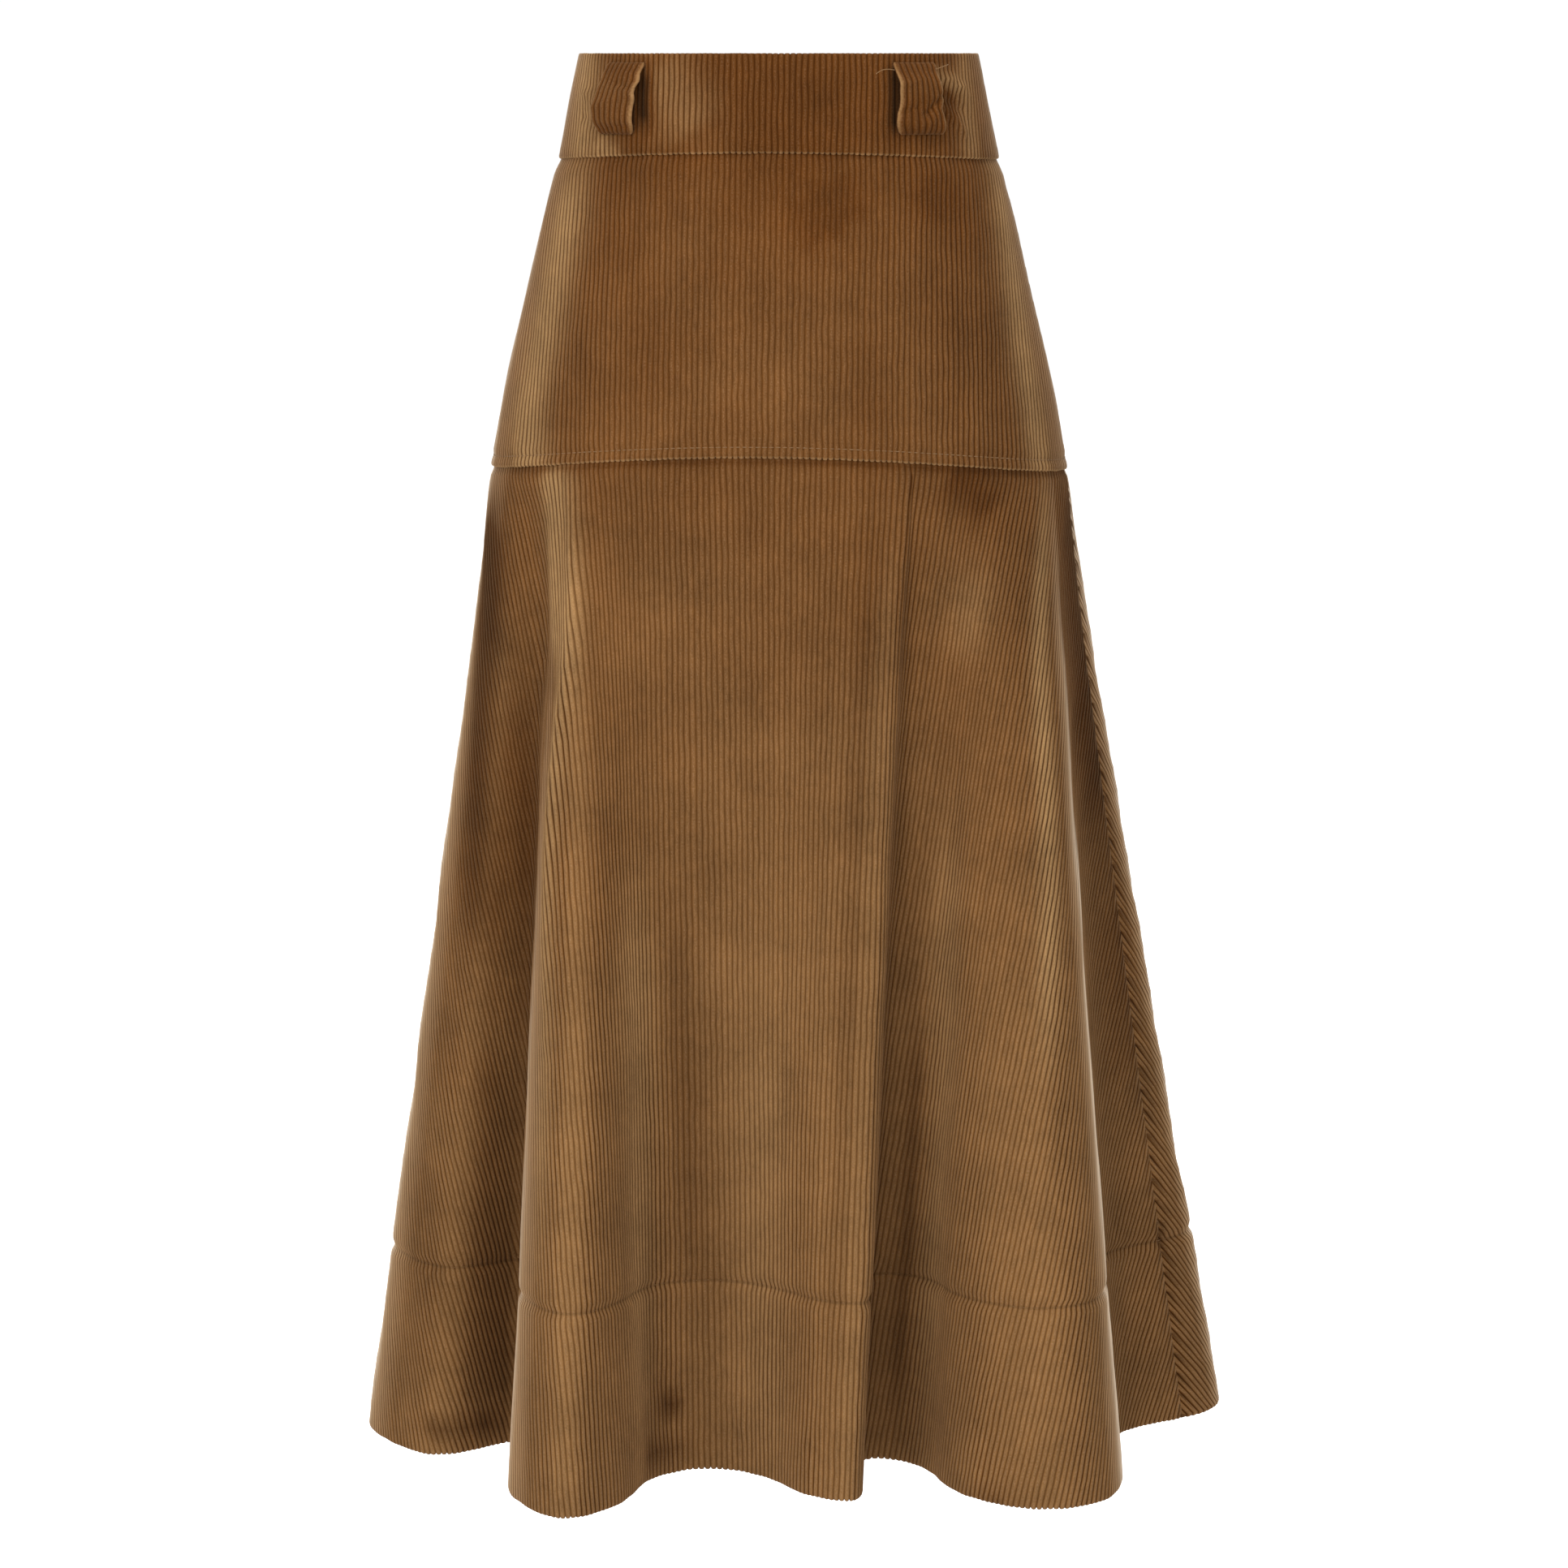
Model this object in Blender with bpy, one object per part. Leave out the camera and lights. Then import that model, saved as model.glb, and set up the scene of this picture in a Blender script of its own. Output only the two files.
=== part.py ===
"""An A-line midi skirt in wide-wale corduroy, filled out as it is when worn.

Metres, +Z up. The front faces -Y and +X is the wearer's left. The origin lies on
the waist axis at mid-height of the waistband. Heights are given as a drop, which
is measured down from the waistband's top edge.
"""
import math

import bpy
import numpy as np
from mathutils import Vector

# ---------------------------------------------------------------- driving sizes
BAND_MIDDLE = 0.030  # drop of the origin
BAND_DROP = {"centre": 0.057, "side": 0.062}  # lower edge of the waistband
YOKE_DROP = {"centre": 0.233, "side": 0.248}  # lower edge of the hip yoke
HEM_DROP = 0.860  # the hem hangs level
HEM_DEPTH = 0.120  # turned-up hem, from the fold up to its stitch line

CLOTH = 0.0018  # one layer of corduroy
BAND_CLOTH = 0.0020  # waistband, with its facing
LOOP_CLOTH = 0.0024  # belt loop, folded in two
SEAM = 0.0003  # clearance between neighbouring pieces
LAP = 0.010  # seam allowance that lies under the neighbour above it
EASE_BELOW_BAND = 0.014  # over this drop the yoke rises from under the band
HEM_RAMP = 0.003  # over this height the hem reaches its double thickness

# Body sections: drop, half width, depth in front and behind of the waist axis
SECTIONS = (
    (0.000, 0.1200, 0.0880, 0.0920),
    (0.030, 0.1257, 0.0920, 0.0980),
    (0.060, 0.1322, 0.0958, 0.1045),
    (0.095, 0.1415, 0.1020, 0.1160),
    (0.133, 0.1505, 0.1095, 0.1280),
    (0.172, 0.1600, 0.1155, 0.1370),
    (0.212, 0.1690, 0.1195, 0.1430),
    (0.251, 0.1760, 0.1225, 0.1460),
)

# The flare: every row is a straight line of the cloth from the yoke's edge to the
# hem. angle = where it leaves the yoke, in degrees from centre front towards +X;
# x, y = where it ends at the hem.
FLARE = (
    ("centre hollow", -15, -0.037, -0.073),
    ("centre rise", 4, 0.006, -0.095),
    ("left fold rise", 19, 0.035, -0.127),
    ("left fold crest", 26, 0.053, -0.132),
    ("left fold wall", 30, 0.055, -0.085),
    ("left fold hollow", 34, 0.062, -0.044),
    ("hollow's far side", 38, 0.078, -0.047),
    ("outer fold rise", 46, 0.110, -0.096),
    ("outer fold shoulder", 53, 0.138, -0.128),
    ("outer fold crest", 61, 0.173, -0.139),
    ("outer fold edge", 66, 0.201, -0.124),
    ("outer fold wall", 71, 0.216, -0.078),
    ("left side hollow", 82, 0.219, 0.030),
    ("left side seam", 90, 0.254, 0.060),
    ("left side crest", 98, 0.277, 0.096),
    ("left side turn", 106, 0.261, 0.138),
    ("left back hollow", 115, 0.203, 0.112),
    ("left back rise", 122, 0.187, 0.178),
    ("left back crest", 129, 0.160, 0.217),
    ("left back shoulder", 137, 0.125, 0.190),
    ("inner left back hollow", 147, 0.093, 0.105),
    ("centre back rise", 158, 0.057, 0.168),
    ("centre back crest", 168, 0.024, 0.232),
    ("centre back fall", 178, -0.006, 0.192),
    ("inner right back hollow", 189, -0.034, 0.114),
    ("right back rise", 199, -0.065, 0.174),
    ("right back crest", 209, -0.100, 0.226),
    ("right back shoulder", 218, -0.139, 0.188),
    ("outer right back hollow", 227, -0.164, 0.092),
    ("right side rise", 238, -0.207, 0.156),
    ("right side turn", 250, -0.245, 0.134),
    ("right side seam", 270, -0.248, 0.078),
    ("right side crest", 279, -0.262, 0.020),
    ("right side front", 289, -0.243, -0.030),
    ("right side face", 299, -0.203, -0.056),
    ("right side hollow", 308, -0.167, -0.026),
    ("right fold wall", 313, -0.157, -0.095),
    ("right fold edge", 317, -0.145, -0.148),
    ("right fold crest", 321, -0.115, -0.179),
    ("right fold face", 328, -0.080, -0.136),
    ("right fold fall", 335, -0.070, -0.097),
)
SEAM_ROWS = ("right side seam", "left side seam")

# How finely the walls are divided
BODY_COLUMNS = 40  # over a front piece of band or yoke
FLARE_COLUMNS = 84  # over a lower panel
FOLD_RADIUS = 0.030  # the columns crowd where the hem bends tighter than this
BAND_ROWS = (0.0, 0.5, 1.0)
YOKE_ROWS = (0.0, 0.25, 0.5, 0.75, 1.0)  # down the yoke's face
FLARE_ROWS = (0.15, 0.35, 0.62)  # from the yoke's edge to the hem's stitches
FLARE_SAMPLES = 1600
FLARE_STEP = 0.0005  # for reading the direction across a line of the cloth
SPLINE_WRAP = 6  # rows repeated at each end, so that a closed curve has no joint

# Belt loops
LOOP_WIDTH = 0.026
LOOP_TOP, LOOP_BOTTOM = 0.005, 0.047  # drops of its two ends
LOOP_RISE = 0.0084  # how far it stands off the band
LOOP_END = 0.14  # share of its height that rises at each end
LOOP_COLUMNS, LOOP_ROWS = 4, 14
LOOP_STEP = 0.01  # radians, over which the band's girth is read beside a loop
LOOP_ANGLES = {"front_left": 44.0, "front_right": -44.0, "back_left": 136.0, "back_right": -136.0}

# Concealed zip in the centre-back seam
ZIP_TOP, ZIP_BOTTOM = 0.003, 0.218  # drops
ZIP_TAPE_WIDTH, ZIP_TAPE_CLOTH = 0.024, 0.0010
ZIP_TAPE_COLUMNS = 4
SLIDER_SIZE = (0.0084, 0.0020, 0.0100)  # width, depth, height
SLIDER_DROP = 0.0085
LUG_SIZE = (0.0012, 0.0042, 0.0036)
PULL_WIDTH, PULL_CLOTH, PULL_LENGTH = 0.0040, 0.0010, 0.0150
PIN_RADIUS, EYE_HOLE, EYE_RADIUS = 0.0006, 0.0009, 0.0017
PIN_OUT = 0.0046  # from the slider's back to the pin's centre
ROUND_SIDES = 16
SHARP_ANGLE = 40  # degrees, over which an edge is shaded sharp

CORDUROY = (0.145, 0.066, 0.024)
TAPE = (0.055, 0.030, 0.014)
METAL = (0.300, 0.200, 0.110)


# ------------------------------------------------------------------- geometry
def spline(at, knots, values):
    """Read a natural cubic curve through the values at the knots."""
    knots, values = np.asarray(knots, float), np.asarray(values, float)
    width = np.diff(knots)
    system, right = np.eye(len(knots)), np.zeros_like(values)
    for i in range(1, len(knots) - 1):
        system[i, i - 1:i + 2] = width[i - 1], 2 * (width[i - 1] + width[i]), width[i]
        rise = (values[i + 1] - values[i]) / width[i] - (values[i] - values[i - 1]) / width[i - 1]
        right[i] = 6 * rise
    bend = np.linalg.solve(system, right)
    cell = np.clip(np.searchsorted(knots, at) - 1, 0, len(width) - 1)
    span = width[cell]
    shape = (-1,) + (1,) * (values.ndim - 1)
    t = ((knots[cell + 1] - at) / span).reshape(shape)
    u = ((at - knots[cell]) / span).reshape(shape)
    curve = (t**3 - t) * bend[cell] + (u**3 - u) * bend[cell + 1]
    return t * values[cell] + u * values[cell + 1] + curve * (span**2 / 6).reshape(shape)


def edge_drop(edge, angle):
    """Drop of a seam that dips from the centres to the sides."""
    return edge["centre"] + (edge["side"] - edge["centre"]) * np.sin(angle) ** 2


def body_point(angle, drop, out):
    """Point of the body form at an angle and a drop, moved outwards by out."""
    angle, drop, out = np.broadcast_arrays(angle, drop, out)
    table = np.array(SECTIONS)
    sizes = spline(drop.ravel(), table[:, 0], table[:, 1:])
    half, front, back = (column.reshape(angle.shape) for column in sizes.T)
    depth = np.where(np.cos(angle) > 0, front, back)
    normal = np.stack([np.sin(angle) / half, -np.cos(angle) / depth], -1)
    normal /= np.linalg.norm(normal, axis=-1, keepdims=True)
    plan = np.stack([half * np.sin(angle), -depth * np.cos(angle)], -1) + normal * out[..., None]
    return np.concatenate([plan, (BAND_MIDDLE - drop)[..., None]], -1)


def flare_lines(at):
    """Yoke angle and hem point of the straight lines at places round the hem."""
    angle = np.radians([row[1] for row in FLARE])
    hem = np.array([row[2:] for row in FLARE])
    start, girth = flare_starts(hem)
    wrap = np.arange(-SPLINE_WRAP, len(FLARE) + SPLINE_WRAP)
    turns, rows = wrap // len(FLARE), wrap % len(FLARE)
    values = np.column_stack([angle[rows] + 2 * math.pi * turns, hem[rows]])
    lap, place = np.divmod(np.ravel(at), girth)
    lines = spline(place, start[rows] + girth * turns, values)
    turned = lines[:, 0] + 2 * math.pi * lap
    return turned.reshape(np.shape(at)), lines[:, 1:].reshape(np.shape(at) + (2,))


def flare_starts(hem):
    """Place of each row of the flare, as a distance round the hem, and the girth."""
    chord = np.linalg.norm(np.roll(hem, -1, axis=0) - hem, axis=1)
    return np.concatenate([[0.0], np.cumsum(chord)[:-1]]), chord.sum()


def flare_line_point(at, share):
    """Point of the flare's outer face; a share under 0 lies on the lap."""
    angle, hem = flare_lines(at)
    edge = edge_drop(YOKE_DROP, angle)
    top = body_point(angle, edge + np.minimum(share, 0) * (HEM_DROP - edge), -CLOTH - SEAM)
    foot = np.concatenate([hem, np.full(hem.shape[:-1] + (1,), BAND_MIDDLE - HEM_DROP)], -1)
    return top + (foot - top) * np.maximum(share, 0)[..., None]


def flare_along(at, share):
    """Direction across the flare's lines, as long as the cloth is wide there."""
    ahead, behind = flare_line_point(at + FLARE_STEP, share), flare_line_point(at - FLARE_STEP, share)
    return (ahead - behind) / (2 * FLARE_STEP)


def flare_point(at, share, out):
    """Point of the flare, moved out along its level outward direction."""
    at, share, out = np.broadcast_arrays(at, share, out)
    along = flare_along(at, share)
    normal = np.stack([along[..., 1], -along[..., 0], 0 * along[..., 2]], -1)
    normal /= np.linalg.norm(normal, axis=-1, keepdims=True)
    return flare_line_point(at, share) + normal * out[..., None]


def flare_columns(first, last, count):
    """Divide a stretch of the hem, more closely where it bends."""
    at = np.linspace(first, last, FLARE_SAMPLES)
    hem = flare_lines(at)[1]
    rate = np.gradient(hem, at, axis=0)
    turn = np.linalg.norm(np.gradient(rate, at, axis=0), axis=1)
    weight = np.cumsum(1 + FOLD_RADIUS * turn)
    return np.interp(np.linspace(weight[0], weight[-1], count + 1), weight, at)


# ---------------------------------------------------------------- mesh makers
def make_object(name, points, faces, material, parent):
    """Make one named object from points and faces."""
    mesh = bpy.data.meshes.new(name)
    mesh.from_pydata([tuple(point) for point in points], [], faces)
    mesh.shade_smooth()
    mesh.set_sharp_from_angle(angle=math.radians(SHARP_ANGLE))
    mesh.materials.append(material)
    made = bpy.data.objects.new(name, mesh)
    bpy.context.collection.objects.link(made)
    made.parent = parent
    return made


def make_wall(name, outer, inner, material, parent):
    """Close the space between two grids of points; rows run down, columns round."""
    rows, columns = outer.shape[:2]
    points = np.concatenate([outer.reshape(-1, 3), inner.reshape(-1, 3)])

    def at(row, column, side=0):
        return (side * rows + row) * columns + column

    faces = []
    for row in range(rows - 1):
        for column in range(columns - 1):
            corners = ((row, column), (row + 1, column), (row + 1, column + 1), (row, column + 1))
            faces.append([at(*corner) for corner in corners])
            faces.append([at(*corner, 1) for corner in reversed(corners)])
    rim = [(row, 0) for row in range(rows)]
    rim += [(rows - 1, column) for column in range(1, columns)]
    rim += [(row, columns - 1) for row in reversed(range(rows - 1))]
    rim += [(0, column) for column in reversed(range(1, columns - 1))]
    for start, end in zip(rim, rim[1:] + rim[:1]):
        faces.append([at(*end), at(*start), at(*start, 1), at(*end, 1)])
    return make_object(name, points, faces, material, parent)


def make_box(name, size, place, material, parent):
    """Make a block of a size about a place in its parent's frame."""
    corners = [(x, y, z) for x in (-0.5, 0.5) for y in (-0.5, 0.5) for z in (-0.5, 0.5)]
    points = [[share * length for share, length in zip(corner, size)] for corner in corners]
    faces = ((0, 1, 3, 2), (4, 6, 7, 5), (0, 4, 5, 1), (2, 3, 7, 6), (0, 2, 6, 4), (1, 5, 7, 3))
    made = make_object(name, points, faces, material, parent)
    made.location = place
    return made


def make_bar(name, outline, width, material, parent):
    """Push an outline of (y, z) points out to a width along X, about the middle."""
    count = len(outline)
    points = [(side * width / 2, y, z) for side in (-1, 1) for y, z in outline]
    faces = [list(reversed(range(count))), list(range(count, 2 * count))]
    faces += [[i, (i + 1) % count, count + (i + 1) % count, count + i] for i in range(count)]
    return make_object(name, points, faces, material, parent)


def circle(radius, first=0.0, last=360.0, sides=ROUND_SIDES):
    """Points of an arc in (y, z), by angle from +Y towards +Z."""
    full = last - first >= 360.0
    turns = np.radians(np.linspace(first, last, sides, endpoint=not full))
    return [(radius * math.cos(turn), radius * math.sin(turn)) for turn in turns]


def make_guide(made):
    """Mark an object that only joins or cuts another."""
    made.hide_render = True
    made.display_type = "WIRE"
    return made


def join_or_cut(target, tool, operation):
    """Join a guide to an object, or cut it out of one."""
    step = target.modifiers.new(tool.name, "BOOLEAN")
    step.operation = operation
    step.object = make_guide(tool)


def make_material(name, colour, roughness, metallic=0.0):
    """Make a plain Principled material."""
    material = bpy.data.materials.new(name)
    material.use_nodes = True
    shader = material.node_tree.nodes["Principled BSDF"]
    shader.inputs["Base Color"].default_value = (*colour, 1.0)
    shader.inputs["Roughness"].default_value = roughness
    shader.inputs["Metallic"].default_value = metallic
    return material


# --------------------------------------------------------------------- pieces
def piece_angles(first, last):
    """Angles of a body piece's columns, half a clearance short of each seam."""
    gap = SEAM / 2 / SECTIONS[0][2]
    count = round(BODY_COLUMNS * (last - first) / 180)
    return np.linspace(math.radians(first) + gap, math.radians(last) - gap, count + 1)[None, :]


def make_band(name, first, last, material, parent):
    """Make one piece of the contoured waistband."""
    angle = piece_angles(first, last)
    drop = np.array(BAND_ROWS)[:, None] * edge_drop(BAND_DROP, angle)
    inner = body_point(angle, drop, -BAND_CLOTH)
    return make_wall(name, body_point(angle, drop, 0.0), inner, material, parent)


def yoke_face_drops(angle):
    """Drops of the rows down the yoke's face, clear of the laps at its two edges."""
    first = edge_drop(BAND_DROP, angle) + EASE_BELOW_BAND
    last = edge_drop(YOKE_DROP, angle) - LAP
    return [first + (last - first) * share for share in YOKE_ROWS]


def make_yoke(name, first, last, material, parent):
    """Make one piece of the hip yoke, its top edge under the waistband."""
    angle = piece_angles(first, last)
    band, edge = edge_drop(BAND_DROP, angle), edge_drop(YOKE_DROP, angle)
    drop = np.concatenate([band - LAP, band] + yoke_face_drops(angle) + [edge])
    out = np.zeros_like(drop)
    out[:2] = -BAND_CLOTH - SEAM
    inner = body_point(angle, drop, out - CLOTH)
    return make_wall(name, body_point(angle, drop, out), inner, material, parent)


def make_flare(name, first, last, material, parent):
    """Make a lower panel: its lap, its folds and its hem of double thickness."""
    length = HEM_DROP - sum(YOKE_DROP.values()) / 2
    stitches = 1 - HEM_DEPTH / length
    shares = [-LAP / length, 0.0] + [stitches * share for share in FLARE_ROWS]
    shares += [stitches - HEM_RAMP / length, stitches, 1.0]
    at, share = np.meshgrid(flare_columns(first, last, FLARE_COLUMNS), shares)
    width = np.linalg.norm(flare_along(at, share), axis=-1)
    at[:, 0] += SEAM / 2 / width[:, 0]
    at[:, -1] -= SEAM / 2 / width[:, -1]
    depth = np.where(share < stitches, CLOTH, 2 * CLOTH)
    return make_wall(name, flare_point(at, share, 0.0), flare_point(at, share, -depth), material, parent)


def make_belt_loop(name, middle, material, parent):
    """Make a belt loop that stands off the band between its two ends."""
    middle = math.radians(middle)
    level = np.linspace(0, 1, LOOP_ROWS)[:, None]
    drop = LOOP_TOP + level * (LOOP_BOTTOM - LOOP_TOP)
    ahead, start = (body_point(middle + step, LOOP_TOP, 0.0) for step in (LOOP_STEP, 0.0))
    turn = LOOP_WIDTH * LOOP_STEP / np.linalg.norm(ahead - start)
    side = np.linspace(-0.5, 0.5, LOOP_COLUMNS + 1)[None, :] * turn
    climb = np.clip(np.minimum(level, 1 - level) / LOOP_END, 0, 1)
    rise = LOOP_RISE * climb * climb * (3 - 2 * climb) + SEAM
    angle = middle + side
    outer = body_point(angle, drop, rise + LOOP_CLOTH)
    return make_wall(name, outer, body_point(angle, drop, rise), material, parent)


def make_zip_tape(material, parent):
    """Make the zip's tape, which lies behind the centre-back seam."""
    band = BAND_DROP["centre"]
    yoke_top, face = band - LAP, yoke_face_drops(math.pi)
    layers = BAND_CLOTH + SEAM + CLOTH
    corners = (ZIP_TOP, yoke_top - 2 * LAP, yoke_top - 2 * SEAM, band, face[0], ZIP_BOTTOM)
    depths = (BAND_CLOTH, BAND_CLOTH, layers, layers, CLOTH, CLOTH)
    drop = np.unique(corners + tuple(face[1:-1]))[:, None]
    out = -np.interp(drop, corners, depths) - SEAM
    half = ZIP_TAPE_WIDTH / 2 / SECTIONS[0][1]
    angle = np.linspace(math.pi - half, math.pi + half, ZIP_TAPE_COLUMNS + 1)[None, :]
    inner = body_point(angle, drop, out - ZIP_TAPE_CLOTH)
    return make_wall("zip_tape", body_point(angle, drop, out), inner, material, parent)


def make_zip_slider(metal, parent):
    """Make the slider, whose two lugs carry the pull tab's pin."""
    depth, half = SLIDER_SIZE[1], SLIDER_SIZE[2] / 2
    low, high = (body_point(math.pi, SLIDER_DROP + step, SEAM) for step in (half, -half))
    lean = math.atan2(low[1] - high[1], high[2] - low[2])
    stand = bpy.data.objects.new("slider_stand", None)
    bpy.context.collection.objects.link(stand)
    stand.parent = parent
    stand.location = (low + high) / 2
    stand.rotation_euler = (lean, 0, 0)
    slider = make_box("zip_slider", SLIDER_SIZE, (0, depth / 2, 0), metal, stand)
    lug_x = PULL_WIDTH / 2 + SEAM + LUG_SIZE[0] / 2
    for side in (-1, 1):
        place = (side * lug_x, PIN_OUT - LUG_SIZE[1] / 2 + 2 * PIN_RADIUS, 0)
        lug = make_box(f"lug_{'right' if side < 0 else 'left'}", LUG_SIZE, place, metal, stand)
        lug.location.y -= depth / 2
        lug.parent = slider
        join_or_cut(slider, lug, "UNION")
    pin = make_bar("slider_pin", circle(PIN_RADIUS), 2 * lug_x, metal, slider)
    pin.location = (0, PIN_OUT - depth / 2, 0)
    join_or_cut(slider, pin, "UNION")
    return stand.location + Vector((0, PIN_OUT * math.cos(lean), PIN_OUT * math.sin(lean)))


def make_zip_pull(pivot, metal, parent):
    """Make the pull tab, which hangs from the slider's pin by its eye."""
    hinge = bpy.data.objects.new("pull_hinge", None)
    bpy.context.collection.objects.link(hinge)
    hinge.parent = parent
    hinge.location = pivot
    half = PULL_CLOTH / 2
    open_by = math.degrees(math.asin(half / EYE_RADIUS))
    outline = circle(EYE_RADIUS, open_by - 90, 270 - open_by)
    outline += [(-half, half - PULL_LENGTH), (-half / 2, -PULL_LENGTH)]
    outline += [(half / 2, -PULL_LENGTH), (half, half - PULL_LENGTH)]
    pull = make_bar("zip_pull", outline, PULL_WIDTH, metal, hinge)
    hole = make_bar("pull_eye", circle(EYE_HOLE), 2 * PULL_WIDTH, metal, pull)
    join_or_cut(pull, hole, "DIFFERENCE")


def main():
    """Clear the scene and make the skirt."""
    for old in list(bpy.data.objects):
        bpy.data.objects.remove(old, do_unlink=True)
    skirt = bpy.data.objects.new("skirt", None)
    bpy.context.collection.objects.link(skirt)
    corduroy = make_material("corduroy", CORDUROY, 0.9)
    tape = make_material("zip_tape", TAPE, 0.8)
    metal = make_material("zip_metal", METAL, 0.35, 1.0)

    body_pieces = (("front", -90, 90), ("back_left", 90, 180), ("back_right", 180, 270))
    for name, first, last in body_pieces:
        make_band(f"waistband_{name}", first, last, corduroy, skirt)
        make_yoke(f"yoke_{name}", first, last, corduroy, skirt)
    starts, girth = flare_starts(np.array([row[2:] for row in FLARE]))
    names = [row[0] for row in FLARE]
    right, left = (starts[names.index(name)] for name in SEAM_ROWS)
    make_flare("skirt_front", right - girth, left, corduroy, skirt)
    make_flare("skirt_back", left, right, corduroy, skirt)
    for name, middle in LOOP_ANGLES.items():
        make_belt_loop(f"belt_loop_{name}", middle, corduroy, skirt)
    make_zip_tape(tape, skirt)
    bpy.context.view_layer.update()
    pivot = make_zip_slider(metal, skirt)
    make_zip_pull(pivot, metal, skirt)


main()
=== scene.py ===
"""The look of an A-line midi skirt in wide-wale corduroy.

Metres, in the part's own frame: the front faces -Y, +X is the wearer's left and
the origin lies on the waist axis at mid-height of the waistband. Heights are
given as a drop below the waistband's top edge. Every cloth piece is a closed
shell: its face carries the wales as real ribs, its back is plain.
"""
import math

import bpy
import numpy as np
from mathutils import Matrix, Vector

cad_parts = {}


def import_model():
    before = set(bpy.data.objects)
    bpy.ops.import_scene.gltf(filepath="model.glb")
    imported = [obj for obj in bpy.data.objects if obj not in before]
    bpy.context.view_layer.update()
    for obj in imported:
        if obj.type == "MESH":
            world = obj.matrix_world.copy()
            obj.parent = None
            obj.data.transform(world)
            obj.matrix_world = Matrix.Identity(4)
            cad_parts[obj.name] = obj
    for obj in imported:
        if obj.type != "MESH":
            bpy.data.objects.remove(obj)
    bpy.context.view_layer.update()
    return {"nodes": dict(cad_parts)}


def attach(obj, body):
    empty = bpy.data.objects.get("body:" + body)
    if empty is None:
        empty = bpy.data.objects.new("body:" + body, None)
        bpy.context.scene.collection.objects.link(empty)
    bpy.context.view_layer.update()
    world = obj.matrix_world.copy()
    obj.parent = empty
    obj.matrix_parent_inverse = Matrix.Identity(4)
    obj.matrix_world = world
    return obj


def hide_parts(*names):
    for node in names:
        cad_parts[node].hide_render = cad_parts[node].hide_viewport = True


# ------------------------------------------------ the part's own driving sizes
BAND_MIDDLE = 0.030
BAND_DROP = {"centre": 0.057, "side": 0.062}
YOKE_DROP = {"centre": 0.233, "side": 0.248}
HEM_DROP = 0.860
HEM_DEPTH = 0.120
CLOTH = 0.0018
BAND_CLOTH = 0.0020
SEAM = 0.0003
LAP = 0.010
EASE_BELOW_BAND = 0.014
SECTIONS = (
    (0.000, 0.1200, 0.0880, 0.0920),
    (0.030, 0.1257, 0.0920, 0.0980),
    (0.060, 0.1322, 0.0958, 0.1045),
    (0.095, 0.1415, 0.1020, 0.1160),
    (0.133, 0.1505, 0.1095, 0.1280),
    (0.172, 0.1600, 0.1155, 0.1370),
    (0.212, 0.1690, 0.1195, 0.1430),
    (0.251, 0.1760, 0.1225, 0.1460),
)
# Yoke angle, hem x, hem y of the cloth's straight lines, from the centre front
FLARE = (
    (-15, -0.037, -0.073), (4, 0.006, -0.095), (19, 0.035, -0.127), (26, 0.053, -0.132),
    (30, 0.055, -0.085), (34, 0.062, -0.044), (38, 0.078, -0.047), (46, 0.110, -0.096),
    (53, 0.138, -0.128), (61, 0.173, -0.139), (66, 0.201, -0.124), (71, 0.216, -0.078),
    (82, 0.219, 0.030), (90, 0.254, 0.060), (98, 0.277, 0.096), (106, 0.261, 0.138),
    (115, 0.203, 0.112), (122, 0.187, 0.178), (129, 0.160, 0.217), (137, 0.125, 0.190),
    (147, 0.093, 0.105), (158, 0.057, 0.168), (168, 0.024, 0.232), (178, -0.006, 0.192),
    (189, -0.034, 0.114), (199, -0.065, 0.174), (209, -0.100, 0.226), (218, -0.139, 0.188),
    (227, -0.164, 0.092), (238, -0.207, 0.156), (250, -0.245, 0.134), (270, -0.248, 0.078),
    (279, -0.262, 0.020), (289, -0.243, -0.030), (299, -0.203, -0.056), (308, -0.167, -0.026),
    (313, -0.157, -0.095), (317, -0.145, -0.148), (321, -0.115, -0.179), (328, -0.080, -0.136),
    (335, -0.070, -0.097),
)
LEFT_SEAM_ROW, RIGHT_SEAM_ROW = 13, 31
FLARE_STEP = 0.0005
SPLINE_WRAP = 6
LOOP_ANGLES = {"front_left": 44.0, "front_right": -44.0, "back_left": 136.0, "back_right": -136.0}
LOOP_WIDTH = 0.026
LOOP_TOP, LOOP_BOTTOM = 0.005, 0.047
LOOP_CLOTH = 0.0024
ZIP_TOP, ZIP_BOTTOM = 0.003, 0.218
ZIP_TAPE_WIDTH, ZIP_TAPE_CLOTH = 0.024, 0.0010

# --------------------------------------------------------------- the corduroy
WALE = 0.0035  # from groove to groove
WALE_PLACES = (0.0, 0.16, 0.50, 0.84)  # columns within a wale
WALE_HEIGHTS = (0.0, 0.78, 1.0, 0.78)
RIB = 0.0009  # height of a wale over its groove
RIB_SINK = 0.0004  # the groove lies this far under the smooth face
RIB_CHANGE = 0.14  # how much the wales' height changes
RIB_WAVES = ((310.0, 140.0), (57.0, 73.0))  # across and down, in radians a metre
STRAY = 0.00030  # how far a wale wanders sideways
STRAY_WAVES = ((1.7, 95.0, 3.0), (0.8, -61.0, 5.0))  # across, slant and down

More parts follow.
